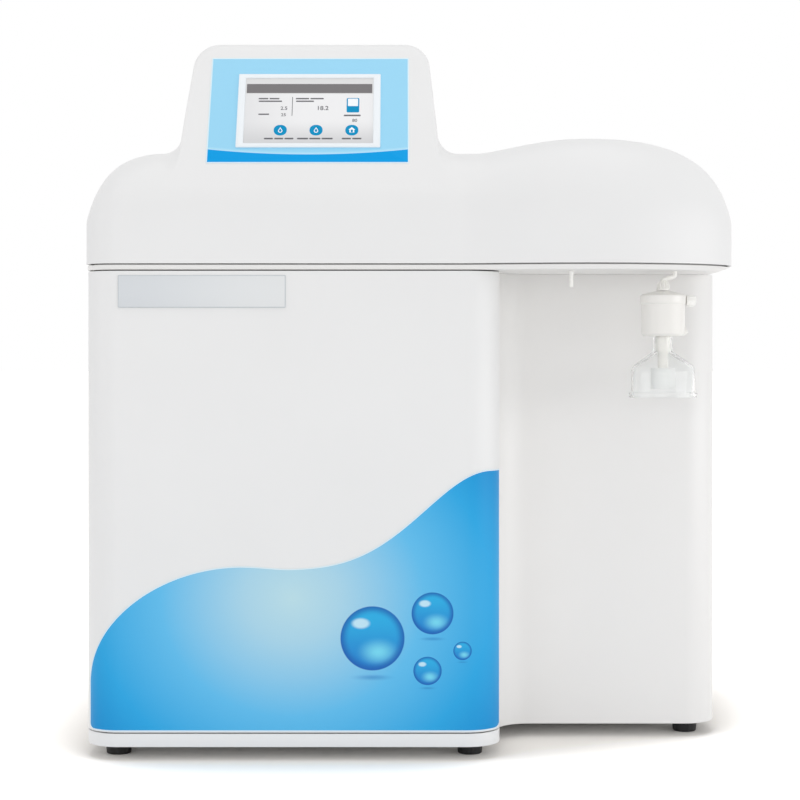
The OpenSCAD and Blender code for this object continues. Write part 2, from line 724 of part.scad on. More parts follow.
module sediment_head() cartridge_head(0, [90, 0]);
module carbon_head() cartridge_head(1, [180, 90]);
module polish_head_1() cartridge_head(2, [90, 0]);
module polish_head_2() cartridge_head(3, [180, 90]);
module sediment_cartridge() cartridge(0, "white");
module carbon_cartridge() cartridge(1, "gainsboro");
module polish_cartridge_1() cartridge(2, "white");
module polish_cartridge_2() cartridge(3, "white");

module link_tubes() {
    color("aliceblue") for (i = [0, 2]) translate([cart_x(i) + stub_reach, cart_y, stub_z])
        rotate([0, 90, 0]) cylinder(d = tube_d, h = cart_pitch - 2 * stub_reach);
}

// ---------- wet parts behind the chassis ----------

// a tube along square-cornered points, bent at each corner
module tube_run(points) {
    n = len(points);
    function unit(v) = v / norm(v);
    dirs = [for (i = [0 : n - 2]) unit(points[i + 1] - points[i])];
    for (i = [0 : n - 2]) {
        from = points[i] + (i > 0 ? tube_bend : 0) * dirs[i];
        to = points[i + 1] - (i < n - 2 ? tube_bend : 0) * dirs[i];
        d = dirs[i];
        translate(from) rotate(abs(d[2]) > 0.5 ? [d[2] > 0 ? 0 : 180, 0, 0] : [0, 90, atan2(d[1], d[0])])
            cylinder(d = tube_d, h = norm(to - from));
    }
    for (i = [1 : n - 2]) let (a = dirs[i - 1], b = dirs[i], c = points[i] - a * tube_bend + b * tube_bend,
            w = cross(-b, a))
        multmatrix(concat([for (j = [0 : 2]) [-b[j], a[j], w[j], c[j]]], [[0, 0, 0, 1]]))
            rotate_extrude(angle = 90) translate([tube_bend, 0]) circle(d = tube_d);
}

// a spring clip on a pedestal from the chassis plate, round an upright tube of radius r at y
module pipe_clip(x, y, z, r) {
    translate([x, 0, z]) {
        difference() {
            translate([0, y, 0]) cylinder(r = r + seat + 3, h = 14);
            translate([0, y, -1]) cylinder(r = r + seat, h = 16);
            box(-r * 0.75, r * 0.75, y + r * 0.3, y + 2 * r, -1, 15);
        }
        box(-9, 9, chassis_back, y - r - seat - 1, 0, 14);
    }
}

ro_x = cart_x(0) + 14;
ro_y = chassis_back + ro_d / 2 + 21;
ro_z0 = floor_z;
ro_z1 = head_z + 2;
ro_cap_h = 18;
ro_stub_y = ro_y + ro_d / 2 + 10;
module side_stub(x, y, z, a, from, reach) {
    translate([x, y, z]) rotate([0, 90, a]) translate([0, 0, from]) cylinder(d = stub_d, h = reach - from);
}
module ro_housing() {
    color("white") {
        rod(ro_x, ro_y, ro_z0, ro_z0 + 26, ro_d + 8);
        rod(ro_x, ro_y, ro_z0 + 26 - eps, ro_z1 - ro_cap_h, ro_d);
        side_stub(ro_x, ro_y, port_z[1], 90, ro_d / 2 - 2, ro_d / 2 + 10);
    }
}
ro_permeate_z = ro_z1 - ro_cap_h / 2;
module ro_cap() {
    color("steelblue") {
        rod(ro_x, ro_y, ro_z1 - ro_cap_h, ro_z1, ro_d + 8);
        rod(ro_x, ro_y, ro_z1 - eps, ro_z1 + 8, stub_d);
        side_stub(ro_x, ro_y, ro_permeate_z, 90, ro_d / 2, ro_d / 2 + 10);
    }
}
module ro_clips() {
    color("dimgray") for (z = [ro_z0 + 90, ro_z1 - 70]) pipe_clip(ro_x, ro_y, z, ro_d / 2);
}

uv_x = cart_x(3) + 84;
uv_y = chassis_back + uv_d / 2 + 37;
uv_z1 = stub_z - tube_bend - 12;
uv_len = 220;
uv_z0 = uv_z1 - uv_len;
uv_cap = 14;
uv_out_z = uv_z0 + 24;
module uv_chamber() {
    color("silver") difference() {
        union() {
            rod(uv_x, uv_y, uv_z0 + uv_cap, uv_z1 - uv_cap, uv_d);
            for (z = [uv_z0, uv_z1 - uv_cap]) rod(uv_x, uv_y, z, z + uv_cap, uv_d + 6);
            rod(uv_x, uv_y, uv_z1 - eps, uv_z1 + 8, stub_d);
            side_stub(uv_x, uv_y, uv_out_z, 0, uv_d / 2 - 2, uv_d / 2 + 8);
        }
        rod(uv_x, uv_y, uv_z0 + uv_cap / 2, uv_z1 - uv_cap / 2, uv_d - 5);
    }
}
module uv_lamp() {
    color("aliceblue") {
        rod(uv_x, uv_y, uv_z0 + uv_cap / 2, uv_z1 - uv_cap / 2, 16);
        rod(uv_x, uv_y, uv_z0 + uv_cap / 2, uv_z0 + uv_cap / 2 + 10, 19);
    }
}
module uv_clips() {
    color("dimgray") for (z = [uv_z0 + 45, uv_z1 - 60]) pipe_clip(uv_x, uv_y, z, uv_d / 2);
}

// diaphragm booster pump, motor to the front and head to the back
pump_x = in_r - 92.5;
pump_y0 = chassis_back + 16 + seat;
pump_z = port_z[0];
pump_head_y = back(290);
pump_half = 26;
module booster_pump() {
    color("dimgray") {
        translate([pump_x, pump_y0, pump_z]) rotate([-90, 0, 0])
            cylinder(d = pump_d, h = pump_head_y - 24 - pump_y0);
        box(pump_x - pump_half, pump_x + pump_half, pump_head_y - 24 - eps, pump_head_y + 20,
            pump_z - 30, pump_z + 26);
        side_stub(pump_x, pump_head_y, pump_z, 180, pump_half - 2, pump_half + 8);
        side_stub(pump_x, pump_head_y, pump_z, 0, pump_half - 2, pump_half + 8);
        // base plate and its saddle
        box(pump_x - 28, pump_x + 28, pump_y0 + 8, pump_head_y + 16, floor_z, floor_z + 4);
        box(pump_x - 12, pump_x + 12, pump_y0 + 12, pump_head_y - 4, floor_z + 3, pump_z - pump_d / 2 + 6);
        box(pump_x - 12, pump_x + 12, pump_head_y - 12, pump_head_y + 12, floor_z + 3, pump_z - 28);
    }
}

// recirculation pump, motor to the right and head at the left
recirc_x = cart_x(2);
recirc_y = back(240);
recirc_z = port_z[3];
recirc_half = 20;
recirc_top = recirc_z + 24;
module recirculation_pump() {
    color("dimgray") {
        box(recirc_x - recirc_half, recirc_x + recirc_half, recirc_y - 22, recirc_y + 22,
            recirc_z - 24, recirc_top);
        translate([recirc_x + recirc_half - eps, recirc_y, recirc_z]) rotate([0, 90, 0])
            cylinder(d = 48, h = 66);
        side_stub(recirc_x, recirc_y, recirc_z, 180, recirc_half - 2, recirc_half + 8);
        rod(recirc_x, recirc_y, recirc_top - 1, recirc_top + 10, stub_d);
        box(recirc_x - 18, recirc_x + 80, recirc_y - 24, recirc_y + 24, floor_z, floor_z + 4);
        box(recirc_x - 14, recirc_x + 76, recirc_y - 10, recirc_y + 10, floor_z + 3, recirc_z - 20);
    }
}

supply_w = 130;
supply_d = 42;
supply_z0 = floor_z + 162;
supply_h = 140;
module power_supply() {
    x0 = recirc_x - 16;
    color("silver") difference() {
        box(x0, x0 + supply_w, chassis_back, chassis_back + supply_d, supply_z0, supply_z0 + supply_h);
        for (i = [0 : 11]) box(x0 + 8 + 10 * i, x0 + 12 + 10 * i, chassis_back + supply_d - 2,
            chassis_back + supply_d + 1, supply_z0 + 20, supply_z0 + supply_h - 20);
    }
}

block_z0 = floor_z + 100;
block_x0 = recirc_x - 20;
module valve_block() {
    color("steelblue") {
        box(block_x0, block_x0 + 120, chassis_back, chassis_back + 26, block_z0, block_z0 + 24);
        // pressure switch screwed into the end of the block
        translate([block_x0 + 120 - eps, chassis_back + 13, block_z0 + 12]) rotate([0, 90, 0])
            cylinder(d = 18, h = 26);
    }
}
module valve_coils() {
    color("black") for (i = [0 : 2]) let (x = block_x0 + 20 + 40 * i) {
        rod(x, chassis_back + 13, block_z0 + 24, block_z0 + 54, 24);
        rod(x, chassis_back + 13, block_z0 + 54 - eps, block_z0 + 58, 10);
    }
}

// ---------- parts on the deck plate, inside the canopy ----------

dispense_z = deck_z1 + 13;
module dispense_valves() {
    color("dimgray") for (x = [nozzle_x, filter_x + 6]) {
        box(x - 14, x + 14, back(filter_back) - 13, back(filter_back) + 13, deck_z1, deck_z1 + 24);
        rod(x, back(filter_back), deck_z1 + 24 - eps, deck_z1 + 52, 24);
    }
}

cell_y = back(filter_back) + 60;
module resistivity_cell() {
    color("steelblue") {
        box(deck_tube_x - 12, deck_tube_x + 12, cell_y - 20, cell_y + 20, deck_z1, deck_z1 + 24);
        rod(deck_tube_x, cell_y, deck_z1 + 24 - eps, deck_z1 + 44, 16);
    }
}

board_x0 = hump_x - 90;
board_y0 = back(130);
board_w = 170;
board_d = 110;
standoff_h = 8;
module board_standoffs() {
    color("gold") for (x = [6, board_w - 6], y = [6, board_d - 6])
        rod(board_x0 + x, board_y0 + y, deck_z1, deck_z1 + standoff_h, 6);
}
module control_board() {
    z = deck_z1 + standoff_h;
    color("green") {
        box(board_x0, board_x0 + board_w, board_y0, board_y0 + board_d, z, z + 1.6);
        box(board_x0 + 60, board_x0 + 84, board_y0 + 40, board_y0 + 64, z + 1.5, z + 4);
        for (i = [0 : 4]) box(board_x0 + 14 + 30 * i, board_x0 + 34 + 30 * i, board_y0 + board_d - 14,
            board_y0 + board_d - 2, z + 1.5, z + 13);
        for (i = [0 : 2]) rod(board_x0 + 116 + 16 * i, board_y0 + 26, z + 1.5, z + 20, 12);
    }
}

module leak_sensor() {
    color("white") {
        rod(0, back(200), floor_z, floor_z + 5, 30);
        rod(0, back(200), floor_z + 5 - eps, floor_z + 12, 14);
    }
}

// ---------- tubing ----------

port_in = 20;
port_y = in_b - port_in;
lane_y = pump_head_y;
drain_lane = y_b - 60;
permeate_lane = y_b - 38;
module pressure_tubes() {
    color("aliceblue") {
        tube_run([[port_x[0], port_y, pump_z], [port_x[0], pump_head_y, pump_z],
            [pump_x - pump_half - 8, pump_head_y, pump_z]]);
        tube_run([[pump_x + pump_half + 8, pump_head_y, pump_z], [in_r - 22, pump_head_y, pump_z],
            [in_r - 22, pump_head_y, stub_z], [cart_x(0), pump_head_y, stub_z],
            [cart_x(0), cart_y + stub_reach, stub_z]]);
        tube_run([[cart_x(1), cart_y + stub_reach, stub_z], [cart_x(1), ro_y, stub_z],
            [ro_x, ro_y, stub_z], [ro_x, ro_y, ro_z1 + 8]]);
    }
}

module low_pressure_tubes() {
    color("lightcyan") {
        // concentrate to the drain
        tube_run([[ro_x, ro_stub_y, port_z[1]], [ro_x, drain_lane, port_z[1]],
            [port_x[1], drain_lane, port_z[1]], [port_x[1], port_y, port_z[1]]]);
        // permeate to the tank
        tube_run([[ro_x, ro_stub_y, ro_permeate_z], [ro_x, permeate_lane - 20, ro_permeate_z],
            [port_x[2], permeate_lane - 20, ro_permeate_z], [port_x[2], permeate_lane - 20, port_z[2]],
            [port_x[2], port_y, port_z[2]]]);
        // tank to the recirculation pump
        tube_run([[port_x[3], port_y, recirc_z], [port_x[3], lane_y, recirc_z],
            [recirc_x - 48, lane_y, recirc_z], [recirc_x - 48, recirc_y, recirc_z],
            [recirc_x - recirc_half - 8, recirc_y, recirc_z]]);
        // recirculation pump to the first polishing head
        tube_run([[recirc_x, recirc_y, recirc_top + 10], [recirc_x, recirc_y, stub_z],
            [recirc_x, cart_y + stub_reach, stub_z]]);
    }
}

module product_tube() {
    color("lightcyan") {
        tube_run([[cart_x(3), cart_y + stub_reach, stub_z], [cart_x(3), uv_y, stub_z],
            [uv_x, uv_y, stub_z], [uv_x, uv_y, uv_z1 + 8]]);
        tube_run([[uv_x + uv_d / 2 + 8, uv_y, uv_out_z], [deck_tube_x, uv_y, uv_out_z],
            [deck_tube_x, uv_y, dispense_z], [deck_tube_x, cell_y + 20, dispense_z]]);
        tube_run([[deck_tube_x, cell_y - 20, dispense_z],
            [deck_tube_x, back(filter_back) + 13, dispense_z]]);
    }
}

// ---------- rear fittings ----------

module rear_port(x, z) {
    translate([x, y_b, z]) rotate([-90, 0, 0]) difference() {
        union() {
            cylinder(d = 20, h = 3);
            cylinder(d = 16, h = port_out);
            translate([0, 0, -sheet - port_in]) cylinder(d = thread_d, h = sheet + port_in + 1);
            translate([0, 0, -sheet - 5]) cylinder(d = 20, h = 5, $fn = 6);
        }
        translate([0, 0, -sheet - port_in + 6]) cylinder(d = port_bore, h = port_in + sheet + port_out);
        translate([0, 0, -sheet - port_in - 1]) cylinder(d = port_bore / 2, h = 9);
    }
}
module rear_ports() {
    color("dimgray") for (i = [0 : 3]) rear_port(port_x[i], port_z[i]);
}

inlet_mouth_w = 24;
inlet_mouth_h = 16;
inlet_depth = 17;
pin_len = 11;
module power_inlet() {
    color("black") difference() {
        union() {
            box(inlet_x - 25, inlet_x + 25, y_b, y_b + 3, inlet_z - 14, inlet_z + 14);
            box(inlet_x - inlet_cut_w / 2 + fit, inlet_x + inlet_cut_w / 2 - fit, y_b - 22, y_b + eps,
                inlet_z - inlet_cut_h / 2 + fit, inlet_z + inlet_cut_h / 2 - fit);
        }
        box(inlet_x - inlet_mouth_w / 2, inlet_x + inlet_mouth_w / 2, y_b + 3 - inlet_depth, y_b + 4,
            inlet_z - inlet_mouth_h / 2, inlet_z + inlet_mouth_h / 2);
    }
    floor_y = y_b + 3 - inlet_depth;
    color("silver") for (p = [[-7, 2], [0, -2], [7, 2]])
        box(inlet_x + p[0] - 1, inlet_x + p[0] + 1, floor_y - 0.1, floor_y + pin_len,
            inlet_z - p[1] - 2, inlet_z - p[1] + 2);
}

rocker_w = switch_w - 3;
rocker_h = switch_h - 4;
rocker_pin = 2.4;
rocker_swing = 14;
rocker_y = y_b - 4;
module switch_body() {
    color("black") difference() {
        union() {
            box(switch_x - switch_w / 2 - 2, switch_x + switch_w / 2 + 2, y_b, y_b + 2,
                inlet_z - switch_h / 2 - 2, inlet_z + switch_h / 2 + 2);
            box(switch_x - switch_w / 2, switch_x + switch_w / 2, y_b - 20, y_b + eps,
                inlet_z - switch_h / 2, inlet_z + switch_h / 2);
        }
        box(switch_x - rocker_w / 2 - seat, switch_x + rocker_w / 2 + seat, y_b - 14, y_b + 3,
            inlet_z - rocker_h / 2 - 1, inlet_z + rocker_h / 2 + 1);
        translate([switch_x - switch_w / 2 - 1, rocker_y, inlet_z]) rotate([0, 90, 0])
            cylinder(d = rocker_pin + 2 * fit, h = switch_w + 2);
    }
}
// a rocker with a hollowed face, turned on two stub pins
module power_rocker() {
    half = rocker_h / 2 - 0.5;
    color("dimgray") translate([switch_x, rocker_y, inlet_z]) rotate([rocker_swing / 2, 0, 0]) {
        translate([-rocker_w / 2, 0, 0]) rotate([90, 0, 90]) linear_extrude(rocker_w)
            polygon([[-4, -1.6], [-4, 1.6], [2.8, half], [4.4, half - 0.2], [3, 0], [4.4, 0.2 - half],
                [2.8, -half]]);
        rotate([0, 90, 0]) cylinder(d = rocker_pin, h = switch_w - 0.4, center = true);
    }
}

// ---------- display ----------

frame_t = 1.8;
module display_label() {
    color("skyblue") difference() {
        on_face() face_box(label_w, label_h, -film_gap - 0.4, -film_gap);
        on_screen() face_box(bezel_w + 2 * seat, bezel_h + 2 * seat, -1, 1);
    }
}
module screen_frame() {
    color("white") on_screen() difference() {
        face_box(bezel_w, bezel_h, -frame_t, -film_gap);
        face_box(screen_w, screen_h, -frame_t - 1, 1);
    }
}
module touch_screen() {
    color("lightgray") on_screen() face_box(bezel_w - 6, bezel_h - 5, 0, 2);
}
module display_board() {
    color("green") on_screen() {
        face_box(bezel_w - 6, bezel_h - 5, 2, 6);
        face_box(60, 40, 6 - eps, 12);
    }
}

// ---------- dispensing outlets ----------

nipple_d = 4;
elbow_r = 2.2;
nipple_in = 8;
filter_y = back(filter_back);
elbow_z = deck_z0 - 7.5;
collar_h = 8;
collar_z1 = elbow_z - 0.2;
collar_z0 = collar_z1 - collar_h;
capsule_top = collar_z0 - seat;
capsule_z0 = capsule_top - capsule_h;
boss_len = 13;
filter_boss_d = 12.4;
barb_d = 8.6;
barb_z0 = capsule_z0 - boss_len - 16;

// tube that steps across from the canopy to the filter's inlet, between two square bends
module outlet_spout() {
    z1 = elbow_z + 2 * elbow_r;
    color("white") translate([0, filter_y, 0]) {
        rod(spout_x, 0, z1, deck_z1, nipple_d);
        translate([spout_x - elbow_r, 0, z1]) rotate([-90, 0, 0])
            rotate_extrude(angle = 90) translate([elbow_r, 0]) circle(d = nipple_d);
        translate([filter_x + elbow_r, 0, z1 - elbow_r]) rotate([0, 90, 0])
            cylinder(d = nipple_d, h = spout_x - filter_x - 2 * elbow_r);
        translate([filter_x + elbow_r, 0, elbow_z]) rotate([-90, 0, 0]) rotate([0, 0, 180])
            rotate_extrude(angle = 90) translate([elbow_r, 0]) circle(d = nipple_d);
        rod(filter_x, 0, capsule_top - nipple_in, elbow_z, nipple_d);
    }
}

nozzle_len = 10.7;
nozzle_root = 2;
module pure_water_nozzle() {
    tip_z = deck_z0 - nozzle_root - nozzle_len;
    color("white") difference() {
        union() {
            rod(nozzle_x, filter_y, tip_z, deck_z0, nozzle_d);
            rod(nozzle_x, filter_y, deck_z0 - nozzle_root, deck_z1, nozzle_d + nozzle_step);
        }
        rod(nozzle_x, filter_y, tip_z - 1, deck_z1 + 1, nozzle_d / 2);
    }
}

// finned nut that locks the filter onto the spout
module filter_collar() {
    color("white") translate([filter_x, filter_y, collar_z0]) difference() {
        union() {
            rotate_extrude() polygon([[0, 0], [5.2, 0], [5.2, 1.2], [4.2, 2], [3.3, collar_h],
                [0, collar_h]]);
            for (a = [0 : 30 : 359]) rotate([0, 0, a]) translate([0, 0.4, 0]) rotate([90, 0, 0])
                linear_extrude(0.8) polygon([[2.6, 1], [5.5, 1], [5.5, collar_h * 0.6],
                    [3.8, collar_h - 0.3], [2.6, collar_h - 0.3]]);
        }
        translate([0, 0, -1]) cylinder(d = nipple_d + 2 * fit, h = collar_h + 2);
    }
}

vent_z = capsule_top - 8;
vent_arm_d = 5;
vent_reach = 7.5;
sleeve_d = 20;
sleeve_h = 17;
module filter_capsule() {
    r = capsule_d / 2;
    h = capsule_h;
    color("white") translate([filter_x, filter_y, 0]) {
        difference() {
            union() {
                translate([0, 0, capsule_z0]) rotate_extrude() polygon([[0, 0], [r - 3, 0], [r - 1, 2],
                    [r - 1, h - 11], [r, h - 10], [r, h - 4], [r - 2, h - 2.6], [6, h], [0, h]]);
                rod(0, 0, capsule_z0 - boss_len, capsule_z0 + 1, filter_boss_d);
                rod(0, 0, barb_z0, capsule_z0 - boss_len + 1, barb_d);
                translate([0, 0, vent_z]) rotate([0, 90, 0])
                    cylinder(d = vent_arm_d, h = r + vent_reach - 1);
                // drain plug low on the side
                translate([r - 4, 0, capsule_z0 + 3]) rotate([0, 60, 0]) cylinder(d = 7, h = 5);
            }
            rod(0, 0, capsule_top - nipple_in - 1, capsule_top + 1, nipple_d + 2 * fit);
            rod(0, 0, barb_z0 - 1, capsule_z0 - 2, barb_d - 3.2);
        }
        // flow straightener pushed onto the barb
        difference() {
            rod(0, 0, barb_z0 - sleeve_h + 3, barb_z0 + 3, sleeve_d);
            rod(0, 0, barb_z0 - sleeve_h + 2, barb_z0 + 1.4, sleeve_d - 2.4);
            rod(0, 0, barb_z0, barb_z0 + 4, barb_d + 2 * fit);
        }
    }
}

module vent_cap() {
    x = filter_x + capsule_d / 2 + seat;
    color("white") translate([x, filter_y, vent_z]) rotate([0, 90, 0]) difference() {
        union() {
            cylinder(d = 8.4, h = vent_reach);
            for (a = [0 : 45 : 359]) rotate([0, 0, a]) translate([4.1, 0, 1])
                cylinder(d = 1.4, h = vent_reach - 2);
        }
        translate([0, 0, -1]) cylinder(d = vent_arm_d + 2 * fit, h = vent_reach);
    }
}

// bell: neck, sloping shoulder, straight wall and rim, one revolved wall
bell_neck_z1 = capsule_z0 - 1;
bell_neck_r = filter_boss_d / 2 + fit;
bell_neck_z0 = capsule_z0 - boss_len;
bell_shoulder = 17;
module filter_bell() {
    r = bell_d / 2;
    t = bell_t;
    z1 = bell_neck_z0 - bell_shoulder;
    z0 = z1 - bell_wall_h;
    // shoulder: a straight slope that runs into a quarter round
    c = 9;
    function outer_arc(k) = [for (i = [0 : 6]) let (a = 52 - 52 * i / 6)
        [r - c + (c - k) * cos(a), z1 + (c - k) * sin(a)]];
    slope = [bell_neck_r + t, bell_neck_z0 + 0.5];
    color("aliceblue") translate([filter_x, filter_y, 0]) rotate_extrude() polygon(concat(
        [[bell_neck_r, bell_neck_z1], [bell_neck_r + t, bell_neck_z1], slope],
        outer_arc(0),
        [[r, z0 + 3.6], [r + 1.8, z0 + 3.2], [r + 1.8, z0], [r - t, z0]],
        [for (i = [6 : -1 : 0]) outer_arc(t)[i]],
        [[bell_neck_r, bell_neck_z0 - t * 0.9]]));
}

top_cover();
deck_plate();
front_door();
door_film();
badge_plate();
hinge_pins();
catch_magnets();
strike_plates();
left_panel();
right_panel();
back_panel();
base_tray();
rubber_feet();
foot_screws();
chassis_plate();
rear_posts();
head_shelf();
shelf_screws();
sediment_head();
carbon_head();
polish_head_1();
polish_head_2();
sediment_cartridge();
carbon_cartridge();
polish_cartridge_1();
polish_cartridge_2();
link_tubes();
ro_housing();
ro_cap();
ro_clips();
uv_chamber();
uv_lamp();
uv_clips();
booster_pump();
recirculation_pump();
power_supply();
valve_block();
valve_coils();
dispense_valves();
resistivity_cell();
control_board();
board_standoffs();
leak_sensor();
pressure_tubes();
low_pressure_tubes();
product_tube();
rear_ports();
power_inlet();
switch_body();
power_rocker();
display_label();
screen_frame();
touch_screen();
display_board();
outlet_spout();
pure_water_nozzle();
filter_collar();
filter_capsule();
vent_cap();
filter_bell();
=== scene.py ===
"""Looks of a bench-top ultrapure water system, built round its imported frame."""

import json
from math import acos, asin, cos, hypot, pi, radians, sin, sqrt, tan, tau

import bmesh
import bpy
from bpy.props import FloatProperty, FloatVectorProperty, IntProperty, PointerProperty
from mathutils import Matrix, Vector


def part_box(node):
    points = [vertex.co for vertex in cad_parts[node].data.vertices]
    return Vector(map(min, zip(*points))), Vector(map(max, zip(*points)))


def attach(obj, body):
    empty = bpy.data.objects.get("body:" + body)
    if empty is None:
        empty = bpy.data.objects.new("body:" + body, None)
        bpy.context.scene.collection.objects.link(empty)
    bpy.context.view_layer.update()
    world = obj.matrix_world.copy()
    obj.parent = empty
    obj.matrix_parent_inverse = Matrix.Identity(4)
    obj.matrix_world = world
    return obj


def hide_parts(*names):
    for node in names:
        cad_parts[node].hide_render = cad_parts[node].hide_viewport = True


bl_info = {
    "name": "Ultrapure water system",
    "version": (1, 0, 0),
    "blender": (4, 5, 0),
    "location": "View3D > Sidebar > Water",
    "description": "Builds the casing, display, cartridges and final filter of a bench-top unit",
    "category": "Object",
}

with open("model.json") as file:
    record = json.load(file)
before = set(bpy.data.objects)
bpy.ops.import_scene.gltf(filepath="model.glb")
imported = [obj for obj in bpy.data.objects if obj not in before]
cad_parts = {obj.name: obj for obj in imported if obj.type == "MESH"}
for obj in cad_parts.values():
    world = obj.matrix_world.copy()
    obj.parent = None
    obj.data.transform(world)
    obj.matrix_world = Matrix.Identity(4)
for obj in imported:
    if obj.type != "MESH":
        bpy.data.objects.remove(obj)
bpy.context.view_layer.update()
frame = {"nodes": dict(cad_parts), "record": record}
NODES = frame["nodes"]
BODY_OF = {node: body for body, nodes in frame["record"]["behaviour"]["bodies"].items()
           for node in nodes}
COVER_LOW, COVER_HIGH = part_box("top_cover")
DECK_LOW, DECK_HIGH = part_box("deck_plate")
DOOR_LOW, DOOR_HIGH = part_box("front_door")
PANEL_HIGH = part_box("right_panel")[1]
CAPSULE_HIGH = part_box("filter_capsule")[1]
BELL_LOW, BELL_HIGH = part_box("filter_bell")
FILTER_AXIS = ((BELL_LOW.x + BELL_HIGH.x) / 2, (BELL_LOW.y + BELL_HIGH.y) / 2)


# ---------- sizes and colours that a user may change ----------

def linear(red, green, blue):
    """Screen values of 0 to 255 as the linear colour that a shader takes"""
    return tuple(c / 3294.6 if c < 10.3 else ((c / 255 + 0.055) / 1.055) ** 2.4
                 for c in (red, green, blue))


def length(name, description, default):
    return FloatProperty(name=name, description=description, default=default, unit="LENGTH",
                         precision=4)


def angle(name, description, degrees):
    return FloatProperty(name=name, description=description, default=radians(degrees),
                         unit="ROTATION")


def tint(name, description, *values):
    return FloatVectorProperty(name=name, description=description, default=linear(*values),
                               subtype="COLOR", min=0, max=1)


class CasingSizes(bpy.types.PropertyGroup):
    """Sizes of the moulded top cover and of the casing under it"""
    corner: length("Corner", "Outer radius of the casing's upright corners", 0.028)
    wall: length("Wall", "Wall thickness of the moulded cover", 0.003)
    wall_top: length("Wall top", "Level where the cover's upright wall ends", DECK_HIGH.z + 0.033)
    edge: length("Edge", "Radius of the cover's long top edges", 0.060)
    back_edge: length("Back edge", "Depth of the rounding along the cover's back", 0.040)
    dome_rise: length("Dome rise", "How far the right dome rises above the flat top", 0.011)
    bulge: length("Bulge", "How far the canopy bulges out past the door", 0.014)
    bulge_turn: length("Bulge turn", "Plan depth of the canopy's right-hand curve", 0.060)
    bulge_x: length("Bulge place", "Where the canopy reaches furthest forward", 0.142)
    bulge_start: length("Bulge start", "How far before the bay the canopy leaves the front", 0.033)
    dome_start: length("Dome start", "How far before the bay the dome leaves the top", 0.017)
    bay_x: length("Bay", "Where the dispensing bay begins", DOOR_HIGH.x)
    front: length("Front", "Level of the door's front face", DOOR_LOW.y)
    groove: length("Groove", "Height of the dark groove above the deck plate", 0.0012)
    groove_in: length("Groove depth", "How far the groove goes in", 0.0050)
    slope: length("Slope", "How far the deck plate's right end slopes in below", 0.011)


class HumpSizes(bpy.types.PropertyGroup):
    """Sizes of the hump that carries the display"""
    middle: length("Middle", "Where the middle of the hump stands", COVER_LOW.x + 0.181)
    width: length("Width", "Width of the hump at half its height", 0.2035)
    height: length("Height", "Height of the hump above the flat top", 0.096)
    tilt: angle("Tilt", "Tilt of the display face back from upright", 30)
    draft: angle("Draft", "Draft of the hump's sides", 6)
    corner: length("Corner", "Radius of the hump's top corners", 0.021)
    foot: length("Foot", "Radius where the hump's sides meet the top", 0.017)
    depth: length("Depth", "Where the rear slope ends, behind the door's face", 0.245)


class DisplaySizes(bpy.types.PropertyGroup):
    """Sizes of the label and the display on the hump's face"""
    label_w: length("Label width", "Width of the blue label", 0.165)
    label_h: length("Label height", "Height of the blue label", 0.108)
    screen_w: length("Screen width", "Width of the lit screen", 0.106)
    screen_h: length("Screen height", "Height of the lit screen", 0.067)
    above_edge: length("Above the edge", "From the face's foot to the label's middle", 0.0655)
    drop: length("Drop", "How far the screen's middle lies below the label's", 0.0012)
    face: length("Face", "How far the screen's glass stands out of the hump's face", 0.0006)
    print_t: length("Print", "Thickness of what the screen shows", 0.00006)


class DoorSizes(bpy.types.PropertyGroup):
    """Sizes of the film printed for the door's lower part"""
    film_left: length("Film left", "From the door's left face to the film's edge", 0.0035)
    film_right: length("Film right", "From the door's right face to the film's edge", 0.0005)
    film_foot: length("Film foot", "How far above the door's foot the film begins", 0.001)
    film_corner: length("Film corner", "Radius of the film's lower corners", 0.004)
    film_t: length("Film", "Thickness of the film", 0.0003)
    cut_line: length("Cut line", "Width of the white line round the film", 0.0009)


class FilterSizes(bpy.types.PropertyGroup):
    """Sizes of the final filter under the canopy"""
    wall: length("Bell wall", "Wall thickness of the clear bell", 0.0016)
    neck: length("Neck", "Inner radius of the bell's neck", 0.0063)
    bead: length("Bead", "How far the bell's rim stands out of its wall", 0.0018)
    outlet: length("Outlet", "How far below the bell's top the frosted outlet begins", 0.021)
    spout: length("Spout", "Radius of the bent spout", 0.002)
    spout_bend: length("Spout bend", "Height of the spout's lower bend over the capsule", 0.0085)
    flutes: IntProperty(name="Flutes", description="How many flutes the locking collar has",
                        default=12, min=6)


class Finishes(bpy.types.PropertyGroup):
    """Colours of the outside"""
    white: tint("White", "Moulded white plastic", 235, 235, 234)
    coat: tint("Powder coat", "Painted sheet metal", 239, 238, 236)
    film_glow: tint("Film glow", "Palest blue of the door's film", 188, 223, 232)
    film_mid: tint("Film blue", "Middle blue of the door's film", 97, 190, 236)
    film_deep: tint("Film deep blue", "Deepest blue of the door's film", 18, 145, 210)
    label: tint("Label blue", "Pale blue of the display's label", 158, 218, 246)
    band: tint("Band blue", "Strong blue of the label's band", 0, 160, 231)
    button: tint("Button blue", "Blue of the buttons on the screen", 0, 146, 196)
    plate: tint("Plate", "Plain plate on the door", 213, 217, 220)
    head: tint("Cartridge heads", "Blue of the cartridge heads", 52, 110, 170)


# ---------- mesh tools ----------

MERGE = 2e-6    # distance under which two corners of a CAD mesh are one
LEVEL = 1e-7    # height or radius that counts as none
NO_BEND = 0.5   # degrees under which two CAD faces are one plane

def settings(name):
    """The values of one group of sizes or colours"""
    return getattr(bpy.context.scene, name)


def settle(obj, body, material, nodes=()):
    """Puts the finished piece on its body with its material, and hides the CAD nodes it stands for
    """
    if material:
        obj.data.materials.clear()
        obj.data.materials.append(material)
    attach(obj, body)
    if nodes:
        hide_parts(*nodes)
    return obj


def new_object(name, data):
    """Object of this data in the scene"""
    obj = bpy.data.objects.new(name, data)
    bpy.context.scene.collection.objects.link(obj)
    return obj


